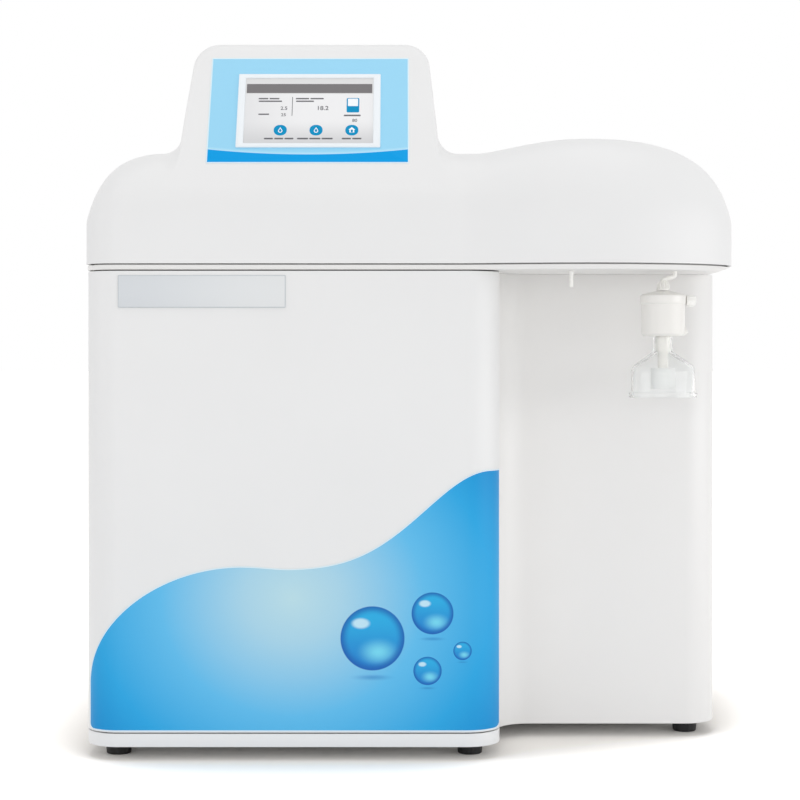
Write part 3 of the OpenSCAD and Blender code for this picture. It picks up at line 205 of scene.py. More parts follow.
def plain_mesh(name, bm):
    """Turns the faces outward, and the bmesh into a mesh"""
    bmesh.ops.recalc_face_normals(bm, faces=bm.faces)
    mesh = bpy.data.meshes.new(name)
    bm.to_mesh(mesh)
    bm.free()
    return mesh


def piece(name, mesh, degrees=35):
    """A new object of this mesh or bmesh, smooth where it bends by less than the angle"""
    if isinstance(mesh, bmesh.types.BMesh):
        mesh = plain_mesh(name, mesh)
    mesh.shade_smooth()
    mesh.set_sharp_from_angle(angle=radians(degrees))
    mesh.name = name
    return new_object(name, mesh)


def finished(obj):
    """Turns an object with modifiers, or a text, into a plain mesh of the same name"""
    graph = bpy.context.evaluated_depsgraph_get()
    mesh = bpy.data.meshes.new_from_object(obj.evaluated_get(graph), depsgraph=graph)
    name = obj.name
    bpy.data.objects.remove(obj)
    return piece(name, mesh)


def softened(name, node, material, width, limit=40, steps=2):
    """Copy of a CAD node with its corners merged and its sharp edges rounded"""
    bm = bmesh.new()
    bm.from_mesh(NODES[node].data)
    bmesh.ops.remove_doubles(bm, verts=bm.verts, dist=MERGE)
    bmesh.ops.dissolve_limit(bm, angle_limit=radians(NO_BEND), verts=bm.verts, edges=bm.edges)
    obj = piece(name, bm)
    bevel = obj.modifiers.new("Rounded edges", "BEVEL")
    bevel.width = width
    bevel.segments = steps
    bevel.limit_method = "ANGLE"
    bevel.angle_limit = radians(limit)
    bevel.use_clamp_overlap = True
    return settle(finished(obj), BODY_OF[node], material, [node])


def join_rings(bm, rings):
    """Faces from each ring of corners to the next"""
    for a, b in zip(rings, rings[1:]):
        for i in range(len(a)):
            j = (i + 1) % len(a)
            bm.faces.new((a[i], b[i], b[j], a[j]))


def grid_shell(*grids):
    """Closed wall between two grids of points, given as rows of the same length"""
    bm = bmesh.new()
    rims = []
    for rows in grids:
        rows = [[bm.verts.new(p) for p in row] for row in rows]
        for a, b in zip(rows, rows[1:]):
            for j in range(len(a) - 1):
                bm.faces.new((a[j], a[j + 1], b[j + 1], b[j]))
        bm.faces.new(rows[0])
        bm.faces.new(rows[-1])
        rims.append([row[0] for row in rows] + [row[-1] for row in reversed(rows)])
    join_rings(bm, rims)
    return bm


def slab(outline, low, high, rounding=0.0, place=None):
    """Plate between two levels, with rounded edges, from an outline of (x, y) points"""
    bm = bmesh.new()
    top = bm.faces.new([bm.verts.new((x, y, high)) for x, y in outline])
    for grown_part in bmesh.ops.extrude_face_region(bm, geom=[top])["geom"]:
        if isinstance(grown_part, bmesh.types.BMVert):
            grown_part.co.z = low
    if rounding:
        rims = [e for e in bm.edges if len(e.link_faces) == 2 and e.calc_face_angle(0) > 1
                and abs(e.verts[0].co.z - e.verts[1].co.z) < LEVEL]
        bmesh.ops.bevel(bm, geom=rims, offset=rounding, segments=3, profile=0.5,
                        affect="EDGES", clamp_overlap=True)
    if place:
        bm.transform(place)
    return bm


def arc(cx, cz, r, start, end, steps=6):
    """Points of an arc, angles in degrees"""
    angles = [radians(start + (end - start) * i / steps) for i in range(steps + 1)]
    return [(cx + r * cos(a), cz + r * sin(a)) for a in angles]


def rounded_box(w, h, r, steps=6):
    """Outline of a rectangle with rounded corners, about its middle"""
    points = []
    for turn, (sx, sy) in enumerate(((1, 1), (-1, 1), (-1, -1), (1, -1))):
        points += arc(sx * (w / 2 - r), sy * (h / 2 - r), r, 90 * turn, 90 * turn + 90, steps)
    return points


def revolved(profile, centre, steps):
    """Turns a closed profile of (radius, level) round Z; a zero radius closes in a pole"""
    turns = [tau * i / steps for i in range(steps)]
    bm = bmesh.new()
    rings = [[bm.verts.new((0, 0, z))] if r < LEVEL else
             [bm.verts.new((r * cos(a), r * sin(a), z)) for a in turns]
             for r, z in profile]
    pairs = list(zip(rings, rings[1:] + rings[:1]))
    if profile[0][0] < LEVEL and profile[-1][0] < LEVEL:
        pairs.pop()
    for a, b in pairs:
        for i in range(steps):
            j = (i + 1) % steps
            corners = dict.fromkeys((a[i % len(a)], a[j % len(a)], b[j % len(b)], b[i % len(b)]))
            if len(corners) > 2:
                bm.faces.new(corners)
    bm.transform(Matrix.Translation(centre))
    return bm


def joined(parts):
    """One bmesh of several"""
    whole = bmesh.new()
    for bm in parts:
        mesh = plain_mesh("part", bm)
        whole.from_mesh(mesh)
        bpy.data.meshes.remove(mesh)
    return whole


def drawn_in(loop, width):
    """The closed outline, which runs with its inside on the left, moved inward by width"""
    moved = []
    for i, (x, y) in enumerate(loop):
        nx = ny = 0
        for (ax, ay), (bx, by) in ((loop[i - 1], (x, y)), ((x, y), loop[(i + 1) % len(loop)])):
            run = hypot(bx - ax, by - ay)
            nx -= (by - ay) / run
            ny += (bx - ax) / run
        share = 2 * width / max(0.8, nx * nx + ny * ny)
        moved.append((x + nx * share, y + ny * share))
    return moved


def ease(t):
    """0 to 1 with soft ends as t runs from 0 to 1"""
    return (1 - cos(pi * min(1, max(0, t)))) / 2


# ---------- node tools ----------

def link(tree, source, target):
    """Joins a socket to another, or writes a plain value or colour on it"""
    if isinstance(source, bpy.types.NodeSocket):
        tree.links.new(source, target)
    elif target.type == "RGBA":
        target.default_value = (*tuple(source)[:3], 1)
    else:
        target.default_value = source


def add_node(tree, kind, inputs, **values):
    """New node with its settings, and its inputs linked or set by name or number"""
    node = tree.nodes.new(kind)
    for key, value in values.items():
        setattr(node, key, value)
    for key, source in inputs.items():
        link(tree, source, node.inputs[key])
    return node


def calc(tree, operation, *values, clamp=False):
    """One step of arithmetic on sockets or numbers"""
    return add_node(tree, "ShaderNodeMath", dict(enumerate(values)), operation=operation,
                    use_clamp=clamp).outputs[0]


def fade(tree, value, low, high):
    """0 below low, 1 above high and a smooth step between; falls where low is above high"""
    return add_node(tree, "ShaderNodeMapRange",
                    {"Value": value, "From Min": low, "From Max": high},
                    interpolation_type="SMOOTHSTEP").outputs[0]


def blend(tree, share, under, over):
    """A share of one colour laid over another"""
    return add_node(tree, "ShaderNodeMix", {0: share, 6: under, 7: over},
                    data_type="RGBA").outputs[2]


def noise(tree, vector, scale, detail=2.0):
    return add_node(tree, "ShaderNodeTexNoise",
                    {"Vector": vector, "Scale": scale, "Detail": detail}).outputs["Fac"]


def split(tree, vector):
    """X, Y and Z of a vector as separate sockets"""
    return add_node(tree, "ShaderNodeSeparateXYZ", {0: vector}).outputs


def new_tree(kind, name, inputs, outputs):
    """Empty tree or group with its sockets, and the sockets to read from and to end in"""
    tree = bpy.data.node_groups.new(name, kind)
    for label, sort, *default in inputs:
        socket = tree.interface.new_socket(label, in_out="INPUT", socket_type="NodeSocket" + sort)
        if default:
            socket.default_value = default[0]
    for label, sort in outputs:
        tree.interface.new_socket(label, in_out="OUTPUT", socket_type="NodeSocket" + sort)
    given, out = tree.nodes.new("NodeGroupInput"), tree.nodes.new("NodeGroupOutput")
    return tree, given.outputs, out.inputs


# ---------- Geometry Nodes ----------

def new_builder(name, *inputs):
    """Empty Geometry Nodes tree with named inputs, the last of them the finish"""
    shape = ("Geometry", "Geometry")
    return new_tree("GeometryNodeTree", name, (shape, *inputs, ("Finish", "Material")), (shape,))


def end_builder(tree, given, out, geometry):
    """Last two steps of each tree: real mesh, then its material"""
    real = add_node(tree, "GeometryNodeRealizeInstances", {0: geometry})
    paint = add_node(tree, "GeometryNodeSetMaterial",
                     {"Geometry": real.outputs[0], "Material": given["Finish"]})
    link(tree, paint.outputs[0], out[0])
    return tree


def spread(tree, given, points, rotation):
    """Copies of the given piece on points"""
    template = add_node(tree, "GeometryNodeObjectInfo", {"Object": given["Piece"]})
    return add_node(tree, "GeometryNodeInstanceOnPoints",
                    {"Points": points, "Instance": template.outputs["Geometry"],
                     "Rotation": rotation}).outputs[0]


def copies_tree():
    """Copies of a piece on the points of a mesh"""
    tree, given, out = new_builder("Copies on points", ("Piece", "Object"), ("Turn", "Rotation"))
    return end_builder(tree, given, out, spread(tree, given, given["Geometry"], given["Turn"]))


def ring_tree():
    """Copies of a piece in a ring, each turned with its place"""
    tree, given, out = new_builder("Ring of copies", ("Piece", "Object"), ("Count", "Int"),
                                   ("Centre", "Vector"))
    on_centre = 0.0001
    ring = add_node(tree, "GeometryNodeMeshCircle",
                    {"Vertices": given["Count"], "Radius": on_centre})
    place = add_node(tree, "GeometryNodeSetPosition",
                     {"Geometry": ring.outputs[0], "Position": given["Centre"]})
    share = calc(tree, "DIVIDE", tree.nodes.new("GeometryNodeInputIndex").outputs[0],
                 given["Count"])
    spin = add_node(tree, "ShaderNodeCombineXYZ", {"Z": calc(tree, "MULTIPLY", share, tau)})
    return end_builder(tree, given, out, spread(tree, given, place.outputs[0], spin.outputs[0]))


def tube_tree():
    """Round tube that follows a path"""
    tree, given, out = new_builder("Tube on a path", ("Path", "Object"), ("Radius", "Float"),
                                   ("Sides", "Int"))
    path = add_node(tree, "GeometryNodeObjectInfo", {"Object": given["Path"]})
    profile = add_node(tree, "GeometryNodeCurvePrimitiveCircle",
                       {"Resolution": given["Sides"], "Radius": given["Radius"]})
    sweep = add_node(tree, "GeometryNodeCurveToMesh",
                     {"Curve": path.outputs["Geometry"], "Profile Curve": profile.outputs["Curve"],
                      "Fill Caps": True})
    return end_builder(tree, given, out, sweep.outputs[0])


def grown(name, tree, values, points=((0, 0, 0),), spare=None):
    """Runs a tree, removes its template and returns the result as a plain mesh object"""
    base = bpy.data.meshes.new(name)
    base.from_pydata(list(points), [], [])
    obj = new_object(name, base)
    modifier = obj.modifiers.new(tree.name, "NODES")
    modifier.node_group = tree
    for item in tree.interface.items_tree:
        if item.in_out == "INPUT" and item.name in values:
            modifier[item.identifier] = values[item.name]
    obj = finished(obj)
    bpy.data.objects.remove(spare)
    return obj


# ---------- shader groups ----------

def new_group(name, inputs, outputs):
    """Empty shader group that takes a place on the surface and the named inputs"""
    return new_tree("ShaderNodeTree", name, (("Vector", "Vector"), *inputs), outputs)


def tone_group():
    """Slow changes of shade over a moulded or painted surface"""
    tree, given, out = new_group(
        "Surface tone", (("Colour", "Color"), ("Amount", "Float", 0.03), ("Scale", "Float", 14.0)),
        (("Colour", "Color"),))
    slow = noise(tree, given["Vector"], given["Scale"], 3.0)
    darker = calc(tree, "MULTIPLY", calc(tree, "SUBTRACT", slow, 0.5), given["Amount"])
    shade = add_node(tree, "ShaderNodeHueSaturation",
                     {"Value": calc(tree, "ADD", 1.0, darker), "Color": given["Colour"]})
    link(tree, shade.outputs[0], out["Colour"])
    return tree


def end_grain(tree, given, out, height, offset):
    """Last steps of a fine texture: the roughness it changes and the height it gives"""
    link(tree, calc(tree, "ADD", given["Roughness"], offset, clamp=True), out["Roughness"])
    link(tree, height, out["Height"])
    return tree


def grain_group():
    """Fine texture of a mould or of powder coat: roughness and height"""
    tree, given, out = new_group(
        "Fine grain",
        (("Scale", "Float", 700.0), ("Roughness", "Float", 0.4), ("Spread", "Float", 0.06)),
        (("Roughness", "Float"), ("Height", "Float")))
    fine = noise(tree, given["Vector"], given["Scale"])
    patchy = noise(tree, given["Vector"], calc(tree, "MULTIPLY", given["Scale"], 0.03), 1.0)
    both = calc(tree, "SUBTRACT", calc(tree, "ADD", fine, patchy), 1.0)
    return end_grain(tree, given, out, fine, calc(tree, "MULTIPLY", both, given["Spread"]))


def brushed_group():
    """Long fine scratches of drawn or brushed metal: roughness and height"""
    tree, given, out = new_group(
        "Brushed lines", (("Scale", "Float", 900.0), ("Roughness", "Float", 0.3)),
        (("Roughness", "Float"), ("Height", "Float")))
    stretch = add_node(tree, "ShaderNodeVectorMath", {0: given["Vector"], 1: (1.0, 1.0, 0.02)},
                       operation="MULTIPLY")
    lines = noise(tree, stretch.outputs[0], given["Scale"])
    offset = calc(tree, "MULTIPLY", calc(tree, "SUBTRACT", lines, 0.5), 0.3)
    return end_grain(tree, given, out, lines, offset)


def drop_group():
    """A round drop printed on the film: darker rim, bright spot and a soft shadow below"""
    tree, given, out = new_group(
        "Printed drop", (("Under", "Color"), ("Across", "Float", 0.0), ("Up", "Float", 0.0),
                         ("Radius", "Float", 0.02)), (("Colour", "Color"),))
    axes = split(tree, given["Vector"])
    across, up = (calc(tree, "DIVIDE", calc(tree, "SUBTRACT", axis, middle), given["Radius"])
                  for axis, middle in ((axes["X"], given["Across"]), (axes["Z"], given["Up"])))

    def reach(dx, dz, sx=1.0, sz=1.0):
        """Distance from a point of the drop, in radii"""
        a = calc(tree, "DIVIDE", calc(tree, "SUBTRACT", across, dx), sx)
        b = calc(tree, "DIVIDE", calc(tree, "SUBTRACT", up, dz), sz)
        squares = calc(tree, "ADD", calc(tree, "MULTIPLY", a, a), calc(tree, "MULTIPLY", b, b))
        return calc(tree, "SQRT", squares)

    rim = reach(0.0, 0.0)
    body = blend(tree, fade(tree, up, -0.9, 0.9), linear(34, 132, 206), linear(44, 176, 228))
    for share, strength, colour in (
            (fade(tree, reach(0.18, -0.42, 0.75, 0.5), 1.0, 0.0), 1.0, linear(120, 216, 240)),
            (fade(tree, rim, 0.7, 1.0), 0.85, linear(24, 88, 172)),
            (fade(tree, reach(-0.36, 0.46, 0.34, 0.2), 1.0, 0.5), 0.8, linear(214, 242, 250))):
        body = blend(tree, calc(tree, "MULTIPLY", share, strength), body, colour)
    shadow = calc(tree, "MULTIPLY", fade(tree, reach(0.0, -1.2, 0.8, 0.12), 1.0, 0.0), 0.55)
    under = blend(tree, shadow, given["Under"], linear(40, 120, 190))
    link(tree, blend(tree, fade(tree, rim, 1.0, 0.97), under, body), out["Colour"])
    return tree


GROUPS = {}


def placed(tree, maker, **values):
    """Puts a shared group into a material and sets its inputs"""
    if maker not in GROUPS:
        GROUPS[maker] = maker()
    return add_node(tree, "ShaderNodeGroup", values, node_tree=GROUPS[maker]).outputs


# ---------- what is printed on the surfaces ----------

# the film's glow: its middle, how much narrower it is counted across, and its reach
GLOW_MIDDLE = (-0.096, DOOR_LOW.y, 0.13)
GLOW_SCALE = (0.9, 1, 1)
GLOW_REACH = 0.176
# the printed drops: across, up, radius
DROPS = ((-0.032, 0.098, 0.026), (0.016, 0.118, 0.017), (0.012, 0.072, 0.0115),
         (0.040, 0.088, 0.0075))


def paint_film(tree, place, base):
    """Pale glow that deepens to the edges, and four printed drops"""
    finish = settings("finishes")
    offset = tuple(-share * middle for share, middle in zip(GLOW_SCALE, GLOW_MIDDLE))
    from_middle = add_node(tree, "ShaderNodeVectorMath", {0: place, 1: GLOW_SCALE, 2: offset},
                           operation="MULTIPLY_ADD")
    reach = add_node(tree, "ShaderNodeVectorMath", {0: from_middle.outputs[0]}, operation="LENGTH")
    share = calc(tree, "DIVIDE", reach.outputs["Value"], GLOW_REACH)
    ramp = add_node(tree, "ShaderNodeValToRGB", {0: share})
    stops = ramp.color_ramp.elements
    stops[0].color = (*finish.film_glow, 1)
    stops[1].color = (*finish.film_deep, 1)
    for at, colour in ((0.2, linear(170, 214, 233)), (0.54, finish.film_mid),
                       (0.82, linear(42, 167, 226))):
        stops.new(at).color = (*colour, 1)
    colour = ramp.outputs[0]
    for across, up, radius in DROPS:
        colour = placed(tree, drop_group, Vector=place, Under=colour, Across=across, Up=up,
                        Radius=radius)["Colour"]
    return colour


LABEL_ASIDE = 0.001  # how far left of the hump's middle the label's middle lies


def face_place(drop=0.0):
    """Matrix from the display face's own axes (across, in, up) to the part, lowered by drop"""
    casing, hump = settings("casing_sizes"), settings("hump_sizes")
    above = settings("display_sizes").above_edge
    place = (hump.middle - LABEL_ASIDE,
             casing.front + casing.edge * (1 - cos(hump.tilt)) + above * tan(hump.tilt),
             casing.wall_top + casing.edge * sin(hump.tilt) + above)
    return (Matrix.Translation(place) @ Matrix.Rotation(-hump.tilt, 4, "X")
            @ Matrix.Translation((0, 0, -drop)))


def on_face(tree, place, drop=0.0):
    """Coordinates along the display face, as separate sockets"""
    mapping = add_node(tree, "ShaderNodeMapping",
                       {"Vector": place, "Location": face_place(drop).translation,
                        "Rotation": face_place().to_euler()}, vector_type="TEXTURE")
    return split(tree, mapping.outputs[0])


def rim_distance(tree, across, up, width, height):
    """How far a point lies inside the nearest edge of a rectangle about its middle"""
    side, end = (calc(tree, "SUBTRACT", size / 2, calc(tree, "ABSOLUTE", place))
                 for size, place in ((width, across), (height, up)))
    return calc(tree, "MINIMUM", side, end)


def paint_label(tree, place, base):
    """Strong blue band with a hollow upper edge and a pale line above it, in a white border"""
    display = settings("display_sizes")
    band, curve, pale, rim = 0.0087, 0.76, 0.0032, 0.0012
    local = on_face(tree, place)
    across, up = local["X"], local["Z"]
    hollow = calc(tree, "MULTIPLY", calc(tree, "MULTIPLY", across, across), curve)
    top = calc(tree, "ADD", hollow, band - display.label_h / 2)
    above = calc(tree, "SUBTRACT", up, top)
    colour = blend(tree, fade(tree, above, pale, 0.0002), base, linear(186, 230, 250))
    colour = blend(tree, fade(tree, above, 0.0001, -0.0001), colour, settings("finishes").band)
    inside = rim_distance(tree, across, up, display.label_w, display.label_h)
    return blend(tree, fade(tree, inside, rim, 0.0009), colour, linear(226, 242, 249))


def paint_screen(tree, place, base):
    """Lit screen, white across its middle, with painted shade that greys it at its head, its foot
    and its left side
    """
    local = on_face(tree, place, settings("display_sizes").drop)
    foot_from, foot_to, left_to, bar_foot = -0.008, -0.034, -0.07, 0.017
    # painted shade: grey towards the screen's foot and its left side, and across its head
    foot = fade(tree, local["Z"], foot_from, foot_to)
    left = fade(tree, local["X"], 0.0, left_to)
    head = fade(tree, local["Z"], bar_foot, bar_foot + 0.0006)
    colour = blend(tree, calc(tree, "MULTIPLY", foot, 0.8), base, linear(205, 205, 206))
    colour = blend(tree, calc(tree, "MULTIPLY", left, 0.5), colour, linear(214, 215, 215))
    return blend(tree, head, colour, linear(225, 225, 224))


def paint_plate(tree, place, base):
    """Silvery plate with a painted sheen that brightens it to its right, and a thin darker line
    round its edge
    """
    low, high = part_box("badge_plate")
    rim = 0.0009
    axes = split(tree, place)
    across = calc(tree, "SUBTRACT", axes["X"], (low.x + high.x) / 2)
    up = calc(tree, "SUBTRACT", axes["Z"], (low.z + high.z) / 2)
    inside = rim_distance(tree, across, up, high.x - low.x, high.z - low.z)
    # painted sheen: the plate grows lighter towards its right
    colour = blend(tree, fade(tree, axes["X"], low.x, high.x), base, linear(226, 228, 228))
    return blend(tree, fade(tree, inside, rim, 0.0004), colour, linear(196, 202, 205))


def paint_board(tree, place, base):
    """Copper tracks that show through the green lacquer"""
    cells = add_node(tree, "ShaderNodeTexBrick",
                     {"Vector": place, "Scale": 160.0, "Mortar Size": 0.06})
    share = calc(tree, "MULTIPLY", cells.outputs["Fac"], 0.5)
    return blend(tree, share, base, linear(70, 140, 90))


# ---------- finishes ----------

SOCKETS = {"specular": "Specular IOR Level", "coat": "Coat Weight", "coat_rough": "Coat Roughness",
           "through": "Transmission Weight", "ior": "IOR", "metal": "Metallic"}
GRAIN_DEPTH = 0.00004


def surface(name, colour, rough=0.4, spread=0.05, amount=0.03, scale=14.0, grain=700.0, bump=0.15,
            brushed=False, paint=None, **sockets):
    """Material of one finish; paint may colour the surface before the tone is laid on it"""
    material = bpy.data.materials.new(name)
    material.use_nodes = True
    tree = material.node_tree
    shader = tree.nodes["Principled BSDF"].inputs
    place = tree.nodes.new("ShaderNodeTexCoord").outputs["Object"]
    base = tuple(colour)
    if paint:
        base = paint(tree, place, base)
    if amount:
        base = placed(tree, tone_group, Vector=place, Colour=base, Amount=amount,
                      Scale=scale)["Colour"]
    if brushed:
        fine = placed(tree, brushed_group, Vector=place, Scale=grain, Roughness=rough)
    else:
        fine = placed(tree, grain_group, Vector=place, Scale=grain, Roughness=rough, Spread=spread)
    if bump:
        relief = add_node(tree, "ShaderNodeBump", {"Strength": bump, "Distance": GRAIN_DEPTH,
                                                   "Height": fine["Height"]})
        link(tree, relief.outputs[0], shader["Normal"])
    link(tree, base, shader["Base Color"])
    link(tree, fine["Roughness"], shader["Roughness"])
    for label, value in sockets.items():
        shader[SOCKETS[label]].default_value = value
    return material


def materials():
    """Every finish of the part, by name"""
    finish = settings("finishes")
    printed = {"amount": 0.0, "bump": 0.05}
    metal = {"brushed": True, "metal": 1.0}
    return {
        "moulded": surface("Moulded white plastic", finish.white, 0.44, specular=0.4,
                           coat=0.08, coat_rough=0.3),
        "coat": surface("White powder coat", finish.coat, 0.42, grain=1100.0, bump=0.25),
        "deck": surface("White deck plastic", linear(235, 234, 232), 0.4),
        "film": surface("Blue wave film", finish.film_mid, 0.36, paint=paint_film, specular=0.2,
                        **printed),
        "cut_line": surface("White cut line", linear(226, 240, 246), 0.4, specular=0.25,
                            **printed),
        "label": surface("Blue label film", finish.label, 0.4, amount=0.01, bump=0.05,
                         paint=paint_label, specular=0.12),
        "frame": surface("White screen frame", linear(238, 243, 246), 0.34, amount=0.01),
        "screen": surface("Lit screen", linear(240, 240, 240), 0.3, amount=0.0, bump=0.0,
                          paint=paint_screen, specular=0.3),
        "print_grey": surface("Grey screen print", linear(112, 109, 110), 0.5, amount=0.0),
        "print_dark": surface("Dark screen print", linear(92, 92, 96), 0.5, amount=0.0),
        "print_blue": surface("Blue screen print", finish.button, 0.4, amount=0.02, specular=0.1),
        "print_white": surface("White screen print", linear(246, 250, 252), 0.4, amount=0.0),
        "plate": surface("Plain silvery plate", finish.plate, 0.32, amount=0.01,
                         paint=paint_plate),
        "rubber": surface("Black rubber", linear(14, 14, 16), 0.62, grain=1500.0, bump=0.4),
        "steel": surface("Bright zinc", linear(176, 178, 180), 0.3, **metal),
        "stainless": surface("Brushed stainless steel", linear(192, 194, 196), 0.26, **metal),
        "sheet": surface("Zinc-coated sheet", linear(176, 178, 180), 0.44, amount=0.12,
                         scale=60.0, metal=0.7),
        "brass": surface("Turned brass", linear(200, 168, 96), 0.28, **metal),
        "head": surface("Blue head plastic", finish.head, 0.38, amount=0.05),
        "housing": surface("White housing plastic", linear(228, 228, 226)),
        "housing_grey": surface("Grey housing plastic", linear(196, 199, 202), 0.42),
        "tube": surface("Milky tubing", linear(226, 236, 240), 0.28, amount=0.02,
                        through=0.35, ior=1.46),
        "black": surface("Black moulded plastic", linear(34, 35, 37), 0.44, grain=1200.0,
                         bump=0.3),
        "pump": surface("Dark pump enamel", linear(62, 65, 69), 0.36, amount=0.1, grain=900.0,
                        bump=0.25),
        "board": surface("Green circuit board", linear(30, 98, 62), 0.34, amount=0.1,
                         paint=paint_board),
        "milky": surface("Milky polypropylene", linear(240, 238, 233), 0.3, amount=0.02,
                         coat=0.4, coat_rough=0.15, ior=1.49),
        "outlet": surface("Frosted outlet plastic", linear(216, 217, 216), 0.34, amount=0.02),
        "clear": surface("Clear bell plastic", linear(253, 254, 254), 0.05, 0.01, amount=0.0,
                         bump=0.02, through=0.95, ior=1.15, coat=0.35, coat_rough=0.1),
        # lighter copy of the milky plastic: painted light for the collar, vent, nozzle and spout
        # in the canopy's shade
        "bright": surface("White polypropylene", linear(251, 250, 246), 0.28, amount=0.01,
                          coat=0.5, coat_rough=0.1),
        "quartz": surface("Clear quartz", linear(240, 246, 252), 0.05, 0.02, amount=0.0,
                          bump=0.0, through=0.9, ior=1.46),
    }


FINISH = {}


# ---------- the moulded cover's form ----------

class CoverForm:
    """Surface of the top cover, drawn in by k: its edges in plan, and its section at any x"""
    CREASE = 0.1    # softness of the crease where the bulge and the dome begin
    BEHIND = 0.001  # how far the cover reaches behind the deck plate
    TURN = 0.014    # radius of the display face's turn into the hump's top
    PLAIN = 0.022   # how much sharper than the long front edge that turn is off the hump
    OVAL = 2.2      # power of the left end's rounding, fuller than a circle
    DOME_OVAL = 2.5  # the same for the dome's right end
    NEAREST = 2e-5  # least distance between two sections

    def __init__(self, k):
        self.c, self.h, self.k = settings("casing_sizes"), settings("hump_sizes"), k
        self.left, self.right = COVER_LOW.x, COVER_HIGH.x
        self.back_y = DECK_HIGH.y + self.BEHIND
        self.r = self.c.edge - k
        self.bulge_from = self.c.bay_x - self.c.bulge_start
        self.dome_from = self.c.bay_x - self.c.dome_start

    def corner_run(self, u):
        r = self.c.corner - self.k
        return r * sqrt(max(0, 1 - (max(0, u) / r) ** 2))

    def swell(self, x, start):
        """0 where the bulge or the dome starts, with a soft crease, and 1 at its fullest"""
        u, soft = (x - start) / (self.c.bulge_x - start), self.CREASE
        share = (hypot(u, soft) - soft) / (hypot(1, soft) - soft)
        return sin(pi / 2 * share)

    def out_share(self, x):
        """0 where the canopy is fullest and 1 at the cover's right end"""
        return (x - self.c.bulge_x) / (self.right - self.k - self.c.bulge_x)

    def front(self, x):
        c, k = self.c, self.k
        if x < self.left + c.corner:
            return c.front + c.corner - self.corner_run(self.left + c.corner - x)
        if x < self.bulge_from:
            return c.front + k
        if x < c.bulge_x:
            return c.front + k - c.bulge * self.swell(x, self.bulge_from)
        turned = sqrt(max(0, 1 - self.out_share(x) ** 2))
        return c.front + c.bulge_turn - (c.bulge_turn + c.bulge - k) * turned

    def back(self, x):
        corner = self.c.corner
        past = max(self.left + corner - x, x - self.right + corner)
        return self.back_y - corner + self.corner_run(past)

    def rise(self, x):
        """Height of the plain top above the upright wall"""
        c = self.c
        if x < self.left + c.edge:
            share = (self.left + c.edge - x) / self.r
            return self.r * max(0, 1 - share ** self.OVAL) ** (1 / self.OVAL)
        if x < self.dome_from:
            return self.r
        if x < c.bulge_x:
            return self.r + c.dome_rise * self.swell(x, self.dome_from)
        oval = self.DOME_OVAL
        return (self.r + c.dome_rise) * max(0, 1 - self.out_share(x) ** oval) ** (1 / oval)

    def hump_half(self, level):
        """Half the hump's width at a level above the flat top"""
        h = self.h
        return h.width / 2 - self.k + (h.height / 2 - level) * tan(h.draft)

    def hump_bounds(self):
        """Half widths where the hump's flat top ends and where its foot ends"""
        h, c, f = self.h, self.h.corner - self.k, self.h.foot + self.k
        lean, across = 1 - sin(h.draft), cos(h.draft)
        return (self.hump_half(h.height - c * lean) - c * across,
                self.hump_half(f * lean) + f * across)

    def hump_rise(self, x):
        """Height of the hump above the flat top"""
        h, c, f = self.h, self.h.corner - self.k, self.h.foot + self.k
        start, end = self.hump_bounds()
        off, across = abs(x - h.middle), cos(h.draft)
        if off <= start:
            return h.height
        if off <= start + c * across:
            return h.height - c + sqrt(c * c - (off - start) ** 2)
        if off < end - f * across:
            return h.height / 2 + (h.width / 2 - self.k - off) / tan(h.draft)
        return f - sqrt(f * f - (end - off) ** 2) if off < end else 0.0

    def section(self, x):
        """Points from the front foot over the top to the back foot"""
        c, h, k, r = self.c, self.h, self.k, self.r
        tilt, a, foot = h.tilt, pi / 2 - h.tilt, DECK_HIGH.z
        rise = self.hump_rise(x)
        turn = self.TURN - k + (c.edge - self.PLAIN) * (1 - rise / h.height) ** 3
        y0, y1, top = self.front(x), self.back(x), r + rise
        d0, z0 = r * (1 - cos(tilt)), r * sin(tilt)
        run = (top - z0 - turn * (1 - cos(a))) / sin(a)
        d1, z1 = d0 + run * cos(a), z0 + run * sin(a)
        d2, d3, b = d1 + turn * sin(a), h.depth - k, c.back_edge - k
        # in turn: the long front edge, the tilted face, its turn into the top, the rear slope
        # and the back edge
        line = [(y0 + r * (1 - cos(tilt * i / 8)), r * sin(tilt * i / 8))
                for i in range(9)]
        line += [(y0 + d0 + (d1 - d0) * i / 6, z0 + (z1 - z0) * i / 6) for i in range(1, 7)]
        line += [(y0 + d1 + turn * (sin(a) - sin(a * (1 - i / 12))),
                  z1 + turn * (cos(a * (1 - i / 12)) - cos(a))) for i in range(1, 13)]
        line += [(y0 + d2 + (d3 - d2) * i / 24, r + rise * (1 + cos(pi * i / 24)) / 2)
                 for i in range(1, 25)]
        line += [(y1 - b * (1 - cos(radians(t))), r * sin(radians(t)))
                 for t in range(90, -1, -6)]
        share = self.rise(x) / r
        return [(x, y0, foot), *((x, y, c.wall_top + z * share) for y, z in line), (x, y1, foot)]

    def stations(self):
        """Places across the cover, closest where it curves most"""

        def bend(first, last, step):
            """Sines of the angles along a curve"""
            return [sin(radians(t)) for t in range(first, last, step)]

        c, h, k = self.c, self.h, self.k
        start, end = self.hump_bounds()
        foot, edge = (h.foot + k) * cos(h.draft), (h.corner - k) * cos(h.draft)
        side = [end - foot * share for share in bend(0, 91, 6)]
        side += [start + (h.corner - k) * share for share in bend(0, 85, 6)]
        side += [start + edge + (end - foot - start - edge) * i / 4 for i in range(1, 4)]
        places = [self.left + k + self.r * (1 - cos(radians(t)))
                  for t in range(0, 91, 3)]
        places += [h.middle + sign * off for sign in (-1, 1) for off in side]
        places += [h.middle + start * i / 4 for i in range(-3, 4)]
        places += [begin + (c.bulge_x - begin) * (i / 24) ** 1.5
                   for begin in (self.bulge_from, self.dome_from) for i in range(25)]
        places += [c.bulge_x + (self.right - k - c.bulge_x) * share for share in bend(3, 91, 3)]
        kept = []
        for x in sorted(places):
            if not kept or x - kept[-1] > self.NEAREST:
                kept.append(x)
        return kept


